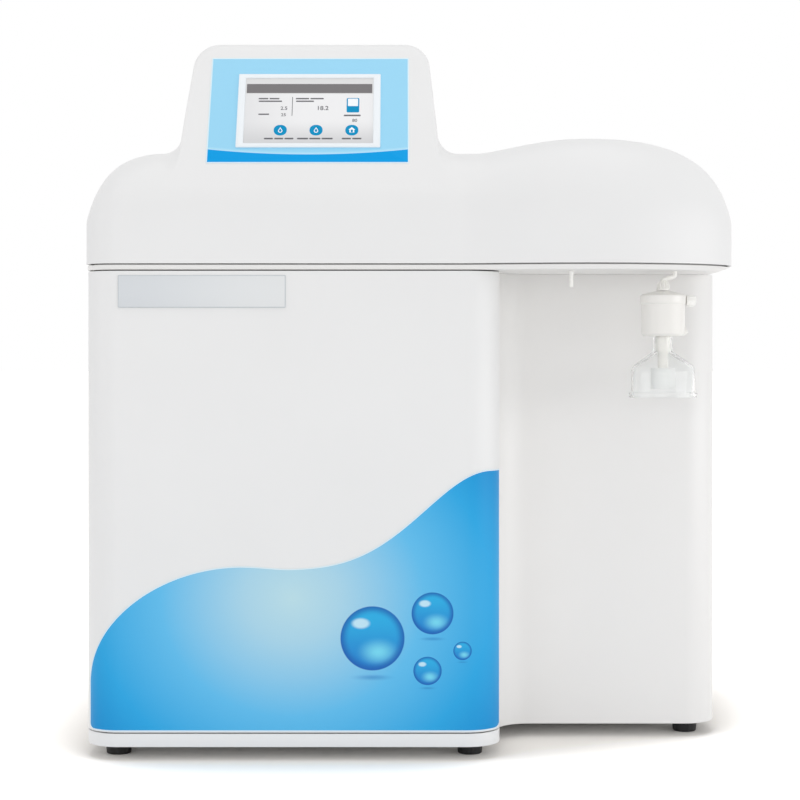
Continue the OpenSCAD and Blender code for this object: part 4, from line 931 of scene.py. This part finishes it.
def deck_sheet(casing):
    """Plate whose upper edge stands back in a dark groove, and whose right end slopes in below"""
    form = CoverForm(0.001)
    places = form.stations()
    outline = ([(x, form.front(x)) for x in places]
               + [(x, form.back(x)) for x in reversed(places)])
    low, groove_foot = DECK_LOW.z, DECK_HIGH.z - casing.groove
    start, chamfer, skin, turn_run = COVER_HIGH.x - casing.bulge_turn, 0.0004, 0.0001, 0.035
    over_panel = DECK_HIGH.x - PANEL_HIGH.x
    bm = bmesh.new()
    rings = []
    for z, inset in ((low, chamfer), (low + chamfer, skin), (groove_foot, skin),
                     (groove_foot, casing.groove_in), (DECK_HIGH.z, casing.groove_in)):
        share = max(0, (groove_foot - z) / (groove_foot - low))
        ring = []
        for x, y in drawn_in(outline, inset):
            # the slope stays over the right panel behind the canopy's curve
            behind = ease((y - casing.front - casing.bulge_turn) / turn_run)
            far = casing.slope + (over_panel - casing.slope) * behind
            at = ease((x - start) / (COVER_HIGH.x - start))
            ring.append(bm.verts.new((x - share * far * at, y, z)))
        rings.append(ring)
    join_rings(bm, rings)
    bmesh.ops.triangulate(bm, faces=[bm.faces.new(rings[0]), bm.faces.new(rings[-1])])
    return bm


# ---------- the door's film ----------

class DoorFace:
    """The door's outside; s runs along its plan, round both corners, from the left to the right"""

    def __init__(self):
        self.c = settings("casing_sizes").corner
        self.r = self.c + settings("door_sizes").film_t
        self.front = settings("casing_sizes").front
        self.quarter = pi / 2 * self.r
        self.flat = DOOR_HIGH.x - DOOR_LOW.x - 2 * self.c

    def point(self, s, out):
        """Place on the door at s, moved outward by out"""
        r, y = self.c + out, self.front + self.c
        if s < self.quarter:
            a = s / self.r
            return DOOR_LOW.x + self.c - r * cos(a), y - r * sin(a)
        if s < self.quarter + self.flat:
            return DOOR_LOW.x + self.c + s - self.quarter, self.front - out
        a = (s - self.quarter - self.flat) / self.r
        return DOOR_HIGH.x - self.c + r * sin(a), y - r * cos(a)

    def left_at(self, inset):
        return self.r * acos((self.c - inset) / self.r)

    def right_at(self, inset):
        return self.quarter + self.flat + self.r * asin((self.c - inset) / self.r)

    def band(self, bm, edges):
        """Closed band on the door through the (s, level, out) corners of each of its sections"""
        return [[bm.verts.new((*self.point(s, out), z)) for s, z, out in corners]
                for corners in edges]


def wave(share):
    """Height of the film's cut edge above the door's foot, as a share of the door's height"""
    crest, dip_run, climb_start, climb_run = 0.37, 0.13, 0.42, 0.555
    swell = 0.26 * sqrt(1 - (1 - min(1, share / crest)) ** 1.91)
    dip = 0.006 * ease((share - crest) / dip_run)
    climb = 0.214 * ease(max(0, (share - climb_start) / climb_run) ** 1.69)
    return 0.1 + swell - dip + climb


def film_outline(face):
    """The film's lower and upper edges as (s, level), both from left to right"""
    door = settings("door_sizes")
    low, tall = DOOR_LOW.z, DOOR_HIGH.z - DOOR_LOW.z
    left, right = DOOR_LOW.x + door.film_left, DOOR_HIGH.x - door.film_right
    start, end, c = face.left_at(door.film_left), face.right_at(door.film_right), door.film_corner
    steps, end_steps, end_run = 280, 12, 0.012
    places = [start + (end - start) * i / steps for i in range(steps + 1)]
    # closer together at both ends, where the edge curves most
    for i in range(1, end_steps):
        near = end_run * (i / end_steps) ** 2
        places += [start + near, end - near]
    foot, top = [], []
    for s in sorted(places):
        x = min(right, max(left, face.point(s, door.film_t)[0]))
        short = max(0, c - min(x - left, right - x))
        foot.append((s, low + door.film_foot + c - sqrt(c * c - short * short)))
        top.append((s, low + tall * wave((x - left) / (right - left))))
    return foot, top


# ---------- operators ----------

class WATER_OT_cover(bpy.types.Operator):
    """Builds the moulded top cover and the deck plate under it"""
    bl_idname = "water.cover"
    bl_label = "Top cover"

    def execute(self, context):
        casing = settings("casing_sizes")
        bm = grid_shell(*([form.section(x) for x in form.stations()]
                          for form in (CoverForm(0.0), CoverForm(casing.wall))))
        bmesh.ops.triangulate(bm, faces=[f for f in bm.faces if len(f.verts) > 4])
        settle(piece("moulded_cover", bm, 50), "cabinet", FINISH["moulded"], ["top_cover"])
        deck = piece("deck_sheet", deck_sheet(casing), 40)
        settle(deck, "cabinet", FINISH["deck"], ["deck_plate"])
        return {"FINISHED"}


class WATER_OT_door(bpy.types.Operator):
    """Builds the door, its printed film with a white cut line, and the plain plate"""
    bl_idname = "water.door"
    bl_label = "Front door"

    def execute(self, context):
        softened("door_shell", "front_door", FINISH["moulded"], 0.0008, steps=3)
        self.film()
        softened("plain_plate", "badge_plate", FINISH["plate"], 0.0005, steps=3)
        for node in ("strike_plates", "hinge_pins"):
            softened(node + "_finished", node, FINISH["steel"], 0.0003)
        softened("catch_cases", "catch_magnets", FINISH["black"], 0.0005)
        return {"FINISHED"}

    def film(self):
        """The film a hair off the door, and the line that lies over its edge"""
        under, over, line_under, line_over = 0.00004, 0.00033, 0.00031, 0.00037
        face = DoorFace()
        foot, top = film_outline(face)
        bm = bmesh.new()
        sections = face.band(bm, (((s, low, over), (s, high, over), (s, high, under),
                                   (s, low, under)) for (s, low), (_, high) in zip(foot, top)))
        join_rings(bm, sections)
        bm.faces.new(sections[0])
        bm.faces.new(sections[-1])
        settle(piece("wave_film", bm), "door", FINISH["film"], ["door_film"])
        loop = foot + top[::-1]
        inside = drawn_in(loop, settings("door_sizes").cut_line)
        bm = bmesh.new()
        sections = face.band(bm, (((*a, line_under), (*a, line_over), (*b, line_over),
                                   (*b, line_under)) for a, b in zip(loop, inside)))
        join_rings(bm, sections + sections[:1])
        settle(piece("film_cut_line", bm), "door", FINISH["cut_line"])


class WATER_OT_panels(bpy.types.Operator):
    """Builds the painted side and back panels and the base tray"""
    bl_idname = "water.panels"
    bl_label = "Panels and tray"

    def execute(self, context):
        for node in ("left_panel", "right_panel", "back_panel"):
            softened(node + "_painted", node, FINISH["coat"], 0.0004)
        softened("base_tray_moulded", "base_tray", FINISH["moulded"], 0.0008)
        return {"FINISHED"}


def screw(radius, head, shank):
    """Button-head screw along +Z with a round socket, its head on the origin's upper side"""
    profile = [(0, head * 0.45), (radius * 0.45, head * 0.45), (radius * 0.5, head * 0.95)]
    profile += [(radius * sin(radians(t)), head * cos(radians(t)) ** 0.6)
                for t in (42, 56, 70, 82)]
    profile += [(radius, 0), (radius * 0.5, 0), (radius * 0.5, -shank), (0, -shank)]
    return revolved(profile, (0, 0, 0), 24)


def rubber_foot(r, tall):
    """Foot with a screw's recess below and rounded rims"""
    recess, deep, lower, upper = 0.0042, 0.0014, 0.0012, 0.0008
    profile = [(0, deep), (recess, deep), (recess, 0.0)]
    profile += arc(0.0088, lower, lower, -90, 0, 4) + [(r, tall - lower)]
    profile += arc(r - upper, tall - upper, upper, 0, 90, 3) + [(0, tall)]
    return revolved(profile, (0, 0, 0), 40)


def foot_places():
    """Middle of each foot, from the loose shells of the CAD node"""
    near = 0.03
    shells = []
    for vert in NODES["rubber_feet"].data.vertices:
        for shell in shells:
            if abs(shell[0].x - vert.co.x) < near and abs(shell[0].y - vert.co.y) < near:
                shell.append(vert.co)
                break
        else:
            shells.append([vert.co])
    return [(*((min(p[i] for p in shell) + max(p[i] for p in shell)) / 2 for i in (0, 1)), 0.0)
            for shell in shells]


class WATER_OT_feet(bpy.types.Operator):
    """Sets copies of one rubber foot under the tray, and screws round the back panel"""
    bl_idname = "water.feet"
    bl_label = "Feet and screws"

    def execute(self, context):
        low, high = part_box("rubber_feet")
        foot = piece("foot_template", rubber_foot(0.0106, high.z - low.z))
        made = grown("rubber_feet_moulded", TREES["copies"],
                     {"Piece": foot, "Finish": FINISH["rubber"]}, foot_places(), foot)
        settle(made, "cabinet", None, ["rubber_feet"])
        low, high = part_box("back_panel")
        middle, inset, column = (low + high) / 2, Vector((0.008, 0, 0.012)), 0.11
        near, far = low + inset, high - inset
        points = [(x, high.y, z) for x in (near.x, far.x) for z in (near.z, middle.z, far.z)]
        points += [(middle.x + side, high.y, z) for side in (-column, column)
                   for z in (near.z, far.z)]
        template = piece("screw_template", screw(0.0030, 0.0018, 0.004))
        made = grown("panel_screws", TREES["copies"],
                     {"Piece": template, "Turn": (-pi / 2, 0, 0), "Finish": FINISH["steel"]},
                     points, template)
        settle(made, "cabinet", None)
        return {"FINISHED"}


# what the screen shows, measured from its middle: dashes in place of captions (width, height,
# across, up, how many words), the buttons' and the tank's places, and the readings
DASHES = ((0.0172, 0.0013, -0.0333, 0.0124, 2), (0.0192, 0.0013, -0.0321, 0.0097, 1),
          (0.0230, 0.0013, 0.0004, 0.0124, 2), (0.0148, 0.0013, -0.0035, 0.0097, 1),
          (0.0088, 0.0013, -0.0371, -0.0037, 1), (0.0138, 0.0015, 0.0357, -0.0049, 1),
          (0.0240, 0.0015, -0.0240, -0.0284, 3), (0.0290, 0.0015, 0.0055, -0.0284, 3),
          (0.0160, 0.0015, 0.0355, -0.0284, 2))
WORD_GAP = 0.0011
BUTTONS = ((-0.0230, -0.0199), (0.0063, -0.0199), (0.0356, -0.0199))
TANK = (0.0362, 0.0056)
READINGS = (("reading_resistivity", "18.2", 0.0112, 0.0007, 0.0058),
            ("reading_conductivity", "2.5", -0.0206, 0.0009, 0.0048),
            ("reading_temperature", "25", -0.0208, -0.0056, 0.0042),
            ("reading_level", "80", 0.0378, -0.0114, 0.0042))


def drop_outline(r, centre, tip):
    """Teardrop: a circle about centre whose sides run straight up to the tip"""
    side = acos(r / (tip - centre))
    round_part = [side + (tau - 2 * side) * i / 22 for i in range(23)]
    return [(0.0, tip)] + [(r * sin(a), centre + r * cos(a)) for a in round_part]


def house_outline():
    half, eave, foot, floor_z, ridge = 0.0020, 0.0028, 0.0004, -0.0024, 0.0031
    return [(-half, floor_z), (half, floor_z), (half, foot), (eave, foot), (0.0, ridge),
            (-eave, foot), (-half, foot)]


class WATER_OT_display(bpy.types.Operator):
    """Builds the label, the screen's frame, the screen and what it shows"""
    bl_idname = "water.display"
    bl_label = "Display"

    def execute(self, context):
        display = settings("display_sizes")
        upright = Matrix.Rotation(pi / 2, 4, "X")
        self.face, self.sheet = display.face, display.print_t
        self.place = face_place(display.drop) @ upright
        label = slab(rounded_box(display.label_w, display.label_h, 0.0012), 0.00002, 0.0004,
                     0.0001, face_place() @ upright)
        settle(piece("label_film", label), "cabinet", FINISH["label"], ["display_label"])
        softened("screen_bezel", "screen_frame", FINISH["frame"], 0.0007, steps=3)
        glass = slab(rounded_box(display.screen_w + 0.002, display.screen_h + 0.002, 0.001),
                     -0.0018, self.face, 0.0, self.place)
        settle(piece("lit_screen", glass), "cabinet", FINISH["screen"], ["touch_screen"])
        self.prints()
        for reading in READINGS:
            self.reading(*reading)
        return {"FINISHED"}

    def shown(self, name, finish, layer, shapes):
        """Flat shapes on the screen, given as outlines with the place of each middle"""
        parts = [slab([(x + dx, y + dy) for x, y in outline], self.face,
                      self.face + layer * self.sheet, 0.0, self.place)
                 for outline, (dx, dy) in shapes]
        settle(piece(name, joined(parts)), "cabinet", FINISH[finish])

    def prints(self):
        """Bar, captions, buttons, tank and signs, in layers that lie over each other"""
        box = rounded_box
        drop, house = drop_outline(0.0018, -0.0008, 0.0030), house_outline()
        heart = [(x * 0.62, y * 0.62 - 0.0002) for x, y in drop]
        words = []
        for wide, tall, x, z, count in DASHES:
            gap = WORD_GAP if count > 1 else 0.0
            run = (wide - gap * (count - 1)) / count
            words += [(box(run, tall, 0.0004, 2), (x - wide / 2 + run / 2 + i * (run + gap), z))
                      for i in range(count)]
        self.shown("screen_bar", "print_grey", 1, [(box(0.104, 0.0094, 0.0002, 2), (0.0, 0.0229))])
        divider = (box(0.0005, 0.0196, 0.0001, 2), (-0.0138, 0.0044))
        self.shown("screen_lines", "print_dark", 1, words + [divider])
        buttons = [(box(0.0107, 0.0107, 0.0049), place) for place in BUTTONS]
        self.shown("screen_buttons", "print_blue", 1,
                   buttons + [(box(0.0104, 0.0148, 0.0012), TANK)])
        empty = (box(0.0084, 0.0076, 0.0006), (TANK[0], TANK[1] + 0.0029))
        self.shown("screen_icons", "print_white", 2,
                   [*zip((drop, drop, house), BUTTONS), empty])
        door = (box(0.0017, 0.0027, 0.0003, 2), (BUTTONS[2][0], BUTTONS[2][1] - 0.0009))
        self.shown("screen_icon_hearts", "print_blue", 3, [*zip((heart, heart), BUTTONS), door])

    def reading(self, name, words, x, z, size):
        """A plain number on the screen"""
        curve = bpy.data.curves.new(name, "FONT")
        curve.body = words
        curve.size = size
        curve.align_x = "CENTER"
        curve.extrude = self.sheet
        curve.offset = size * 0.012
        obj = finished(new_object(name, curve))
        obj.data.transform(self.place @ Matrix.Translation((x, z, self.face)))
        settle(obj, "cabinet", FINISH["print_dark"])


class WATER_OT_filter(bpy.types.Operator):
    """Builds the final filter with its collar, vent and clear bell, the spout and the nozzle"""
    bl_idname = "water.filter"
    bl_label = "Final filter"

    def execute(self, context):
        sizes = settings("filter_sizes")
        self.bell(sizes)
        capsule = softened("capsule_shell", "filter_capsule", FINISH["milky"], 0.0004, limit=32)
        capsule.data.materials.append(FINISH["outlet"])
        for face in capsule.data.polygons:
            face.material_index = int(face.center.z < BELL_HIGH.z - sizes.outlet)
        self.collar(sizes)
        softened("vent_cap_moulded", "vent_cap", FINISH["bright"], 0.0003)
        softened("nozzle_tube", "pure_water_nozzle", FINISH["bright"], 0.0002)
        self.spout(sizes)
        return {"FINISHED"}

    def bell(self, sizes):
        """Clear bell: neck, sloping shoulder, straight wall and a beaded rim"""
        t, n, low, high = sizes.wall, sizes.neck, BELL_LOW.z, BELL_HIGH.z
        bead = (BELL_HIGH.x - BELL_LOW.x) / 2
        r = bead - sizes.bead
        shoulder, neck, turn = low + 0.020, high - 0.012, 0.009
        profile = [(n + t, high), (n + t, neck + 0.0012), (n + t + 0.0006, neck)]
        profile += arc(r - turn, shoulder, turn, 52, 0, 10)
        profile += [(r, low + 0.0036), (bead - 0.0004, low + 0.0034), (bead, low + 0.0028),
                    (bead, low + 0.0004), (bead - 0.0004, low), (r - t + 0.0004, low),
                    (r - t, low + 0.0004)]
        profile += arc(r - turn, shoulder, turn - t, 0, 52, 10) + [(n, neck - t * 0.9), (n, high)]
        bell = piece("clear_bell", revolved(profile, (*FILTER_AXIS, 0), 96), 30)
        settle(bell, "filter", FINISH["clear"], ["filter_bell"])

    def collar(self, sizes):
        """Locking collar: a turned core and a ring of flutes"""
        low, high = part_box("filter_collar")
        foot, tall = (*FILTER_AXIS, low.z), high.z - low.z
        bore, rim = 0.0021, 0.0048
        profile = [(bore, 0.0), (rim, 0.0)] + arc(rim, 0.0004, 0.0004, -90, 0, 3)
        profile += [(0.0052, 0.0011), (0.0042, 0.0020), (0.0034, tall - 0.0003), (0.0031, tall),
                    (bore, tall)]
        core = piece("collar_core", revolved(profile, foot, 48))
        settle(core, "collar", FINISH["bright"], ["filter_collar"])
        flute = [(0.0030, 0.0011), (0.0054, 0.0012), (0.0054, tall * 0.58),
                 (0.0040, tall - 0.0005), (0.0030, tall - 0.0004)]
        upright = Matrix.Rotation(pi / 2, 4, "X")
        template = piece("flute_template", slab(flute, -0.0004, 0.0004, 0.0001, upright))
        made = grown("collar_flutes", TREES["ring"],
                     {"Piece": template, "Count": sizes.flutes, "Centre": foot,
                      "Finish": FINISH["bright"]}, spare=template)
        settle(made, "collar", None)

    def spout(self, sizes):
        """Tube that comes out of the canopy, bends aside and goes down into the filter"""
        low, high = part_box("outlet_spout")
        fx, fy = FILTER_AXIS
        top, bend = high.x - sizes.spout, CAPSULE_HIGH.z + sizes.spout_bend
        curve = bpy.data.curves.new("spout_path", "CURVE")
        curve.dimensions = "3D"
        path = curve.splines.new("BEZIER")
        path.bezier_points.add(3)
        places = ((fx, low.z, 0.001), (fx, bend, 0.0022), (top, bend + 0.0045, 0.0022),
                  (top, high.z, 0.001))
        for point, (x, z, reach) in zip(path.bezier_points, places):
            point.co = (x, fy, z)
            point.handle_left = (x, fy, z - reach)
            point.handle_right = (x, fy, z + reach)
        route = new_object("spout_path", curve)
        made = grown("bent_spout", TREES["tube"],
                     {"Path": route, "Radius": sizes.spout, "Sides": 24,
                      "Finish": FINISH["bright"]}, spare=route)
        settle(made, "cabinet", None, ["outlet_spout"])


class WATER_OT_cartridges(bpy.types.Operator):
    """Dresses the four cartridges and their heads"""
    bl_idname = "water.cartridges"
    bl_label = "Cartridges"

    def execute(self, context):
        for kind, tail, shell, finish in (("sediment", "", "_cartridge_shell", "housing"),
                                          ("carbon", "", "_cartridge_shell", "housing_grey"),
                                          ("polish", "_1", "_shell", "housing"),
                                          ("polish", "_2", "_shell", "housing")):
            softened(kind + shell + tail, kind + "_cartridge" + tail, FINISH[finish], 0.0006)
            softened(kind + "_head_shell" + tail, kind + "_head" + tail, FINISH["head"], 0.0006)
        return {"FINISHED"}


class WATER_OT_plumbing(bpy.types.Operator):
    """Dresses the housings, pumps, valves, boards, tubes and sheet metal inside"""
    bl_idname = "water.plumbing"
    bl_label = "Plumbing and boards"

    def execute(self, context):
        dressed = {
            "sheet": ("chassis_plate", "rear_posts", "head_shelf"),
            "steel": ("foot_screws", "shelf_screws"),
            "stainless": ("uv_chamber", "power_supply"),
            "quartz": ("uv_lamp",),
            "head": ("ro_cap", "valve_block", "resistivity_cell"),
            "housing": ("ro_housing", "leak_sensor"),
            "black": ("ro_clips", "uv_clips", "valve_coils", "dispense_valves"),
            "pump": ("booster_pump", "recirculation_pump"),
            "board": ("control_board", "display_board"),
            "brass": ("board_standoffs",),
            "tube": ("link_tubes", "pressure_tubes", "low_pressure_tubes", "product_tube"),
        }
        for finish, nodes in dressed.items():
            for node in nodes:
                mesh = NODES[node].data
                mesh.materials.clear()
                mesh.materials.append(FINISH[finish])
        return {"FINISHED"}


class WATER_OT_rear(bpy.types.Operator):
    """Builds the rear connectors, the mains inlet and the switch"""
    bl_idname = "water.rear"
    bl_label = "Rear connectors"

    def execute(self, context):
        for name, node, rounding in (("rear_ports_moulded", "rear_ports", 0.0003),
                                     ("inlet_moulded", "power_inlet", 0.0005),
                                     ("switch_frame", "switch_body", 0.0004),
                                     ("rocker_cap", "power_rocker", 0.0004)):
            softened(name, node, FINISH["black"], rounding)
        return {"FINISHED"}


# each softbox: name, place, where it points, width, height, power
SOFTBOXES = (("Front softbox", (-0.6, -2.6, 0.55), (0, 0, 0.25), 2.6, 1.0, 6.4),
             ("Right softbox", (2.4, -1.2, 0.5), (0, 0, 0.25), 2.6, 0.9, 14),
             ("Left softbox", (-2.4, -1.2, 1.0), (0, 0, 0.3), 2.0, 1.6, 6),
             ("Top softbox", (0.0, -0.3, 2.6), (0, 0, 0.3), 2.4, 2.4, 12))
WORLD_STRENGTH = 0.68
CAMERA_PLACE = (-0.010, -1.695, 0.327)
CAMERA = {"lens": 84.4, "sensor_width": 36.0, "shift_y": -0.06, "clip_start": 0.05}


def seen_rays(tree):
    """1 on rays that reach the eye straight, by a mirror or through glass"""
    rays = tree.nodes.new("ShaderNodeLightPath").outputs
    either = calc(tree, "MAXIMUM", rays["Is Camera Ray"], rays["Is Glossy Ray"])
    return calc(tree, "MAXIMUM", either, rays["Is Transmission Ray"])


class WATER_OT_stage(bpy.types.Operator):
    """Sets the pale floor, the soft lights and the camera"""
    bl_idname = "water.stage"
    bl_label = "Floor, lights and camera"

    def execute(self, context):
        self.floor()
        self.world(context.scene)
        self.lamps()
        self.camera(context.scene)
        context.scene.view_settings.view_transform = "Standard"
        return {"FINISHED"}

    def floor(self):
        """Plain floor, seen paler than it lights the part, with the part's soft shadow, deepened
        near the part by a painted contact shadow
        """
        bm = bmesh.new()
        bmesh.ops.create_grid(bm, x_segments=1, y_segments=1, size=30)
        floor = piece("studio_floor", bm)
        material = bpy.data.materials.new("Pale studio floor")
        material.use_nodes = True
        tree = material.node_tree
        tree.nodes.clear()
        out = tree.nodes.new("ShaderNodeOutputMaterial")
        matt, pale = (add_node(tree, "ShaderNodeBsdfDiffuse", {"Color": linear(*grey)})
                      for grey in ((250, 250, 250), (254, 251, 246)))
        shade = add_node(tree, "ShaderNodeAmbientOcclusion", {"Distance": 0.15})
        # painted contact shadow: the floor's glow dims where the part hides it, over the lamps'
        # own shadow
        open_floor = fade(tree, shade.outputs["AO"], 0.5, 0.85)
        glow = add_node(tree, "ShaderNodeEmission",
                        {"Strength": calc(tree, "MULTIPLY", open_floor, 0.5)})
        seen = add_node(tree, "ShaderNodeAddShader", {0: pale.outputs[0], 1: glow.outputs[0]})
        choose = add_node(tree, "ShaderNodeMixShader",
                          {0: seen_rays(tree), 1: matt.outputs[0], 2: seen.outputs[0]})
        link(tree, choose.outputs[0], out.inputs[0])
        floor.data.materials.append(material)

    def world(self, scene):
        """Even soft light, seen as white"""
        world = bpy.data.worlds.new("White studio")
        scene.world = world
        world.use_nodes = True
        tree = world.node_tree
        soft = tree.nodes["Background"]
        link(tree, linear(250, 250, 252), soft.inputs["Color"])
        link(tree, WORLD_STRENGTH, soft.inputs["Strength"])
        white = add_node(tree, "ShaderNodeBackground", {"Color": (1.0, 1.0, 1.0)})
        choose = add_node(tree, "ShaderNodeMixShader",
                          {0: seen_rays(tree), 1: soft.outputs[0], 2: white.outputs[0]})
        link(tree, choose.outputs[0], tree.nodes["World Output"].inputs[0])

    def lamps(self):
        """Four softboxes round the part"""
        for name, place, aim, wide, tall, power in SOFTBOXES:
            lamp = bpy.data.lights.new(name, "AREA")
            lamp.shape = "ELLIPSE"
            lamp.size = wide
            lamp.size_y = tall
            lamp.energy = power
            obj = new_object(name, lamp)
            obj.location = place
            toward = Vector(aim) - Vector(place)
            obj.rotation_euler = toward.to_track_quat("-Z", "Y").to_euler()

    def camera(self, scene):
        """Camera straight ahead, at the photograph's viewing angle"""
        camera = bpy.data.cameras.new("Photo camera")
        for key, value in CAMERA.items():
            setattr(camera, key, value)
        obj = new_object("Photo camera", camera)
        obj.location = CAMERA_PLACE
        obj.rotation_euler = (pi / 2, 0, 0)
        scene.camera = obj


STEPS = {"cover": WATER_OT_cover, "door": WATER_OT_door, "panels": WATER_OT_panels,
         "feet": WATER_OT_feet, "display": WATER_OT_display, "filter": WATER_OT_filter,
         "cartridges": WATER_OT_cartridges, "plumbing": WATER_OT_plumbing,
         "rear": WATER_OT_rear, "stage": WATER_OT_stage}
GROUP_TYPES = {"casing_sizes": CasingSizes, "hump_sizes": HumpSizes,
               "display_sizes": DisplaySizes, "door_sizes": DoorSizes,
               "filter_sizes": FilterSizes, "finishes": Finishes}


class WATER_PT_steps(bpy.types.Panel):
    """Buttons that build each group of pieces, and the sizes and colours they use"""
    bl_idname = "WATER_PT_steps"
    bl_label = "Ultrapure water system"
    bl_space_type = "VIEW_3D"
    bl_region_type = "UI"
    bl_category = "Water"

    def draw(self, context):
        for step in STEPS:
            self.layout.operator("water." + step)
        for group_name in GROUP_TYPES:
            box = self.layout.box()
            values = settings(group_name)
            for key in values.bl_rna.properties.keys():
                if key not in ("rna_type", "name"):
                    box.prop(values, key)


CLASSES = (*GROUP_TYPES.values(), *STEPS.values(), WATER_PT_steps)
TREES = {}


def register():
    for cls in CLASSES:
        bpy.utils.register_class(cls)
    for name, cls in GROUP_TYPES.items():
        setattr(bpy.types.Scene, name, PointerProperty(type=cls))


def unregister():
    for name in GROUP_TYPES:
        delattr(bpy.types.Scene, name)
    for cls in reversed(CLASSES):
        bpy.utils.unregister_class(cls)


def main():
    register()
    FINISH.update(materials())
    TREES.update(copies=copies_tree(), ring=ring_tree(), tube=tube_tree())
    for step in STEPS:
        getattr(bpy.ops.water, step)()


if __name__ == "__main__":
    main()
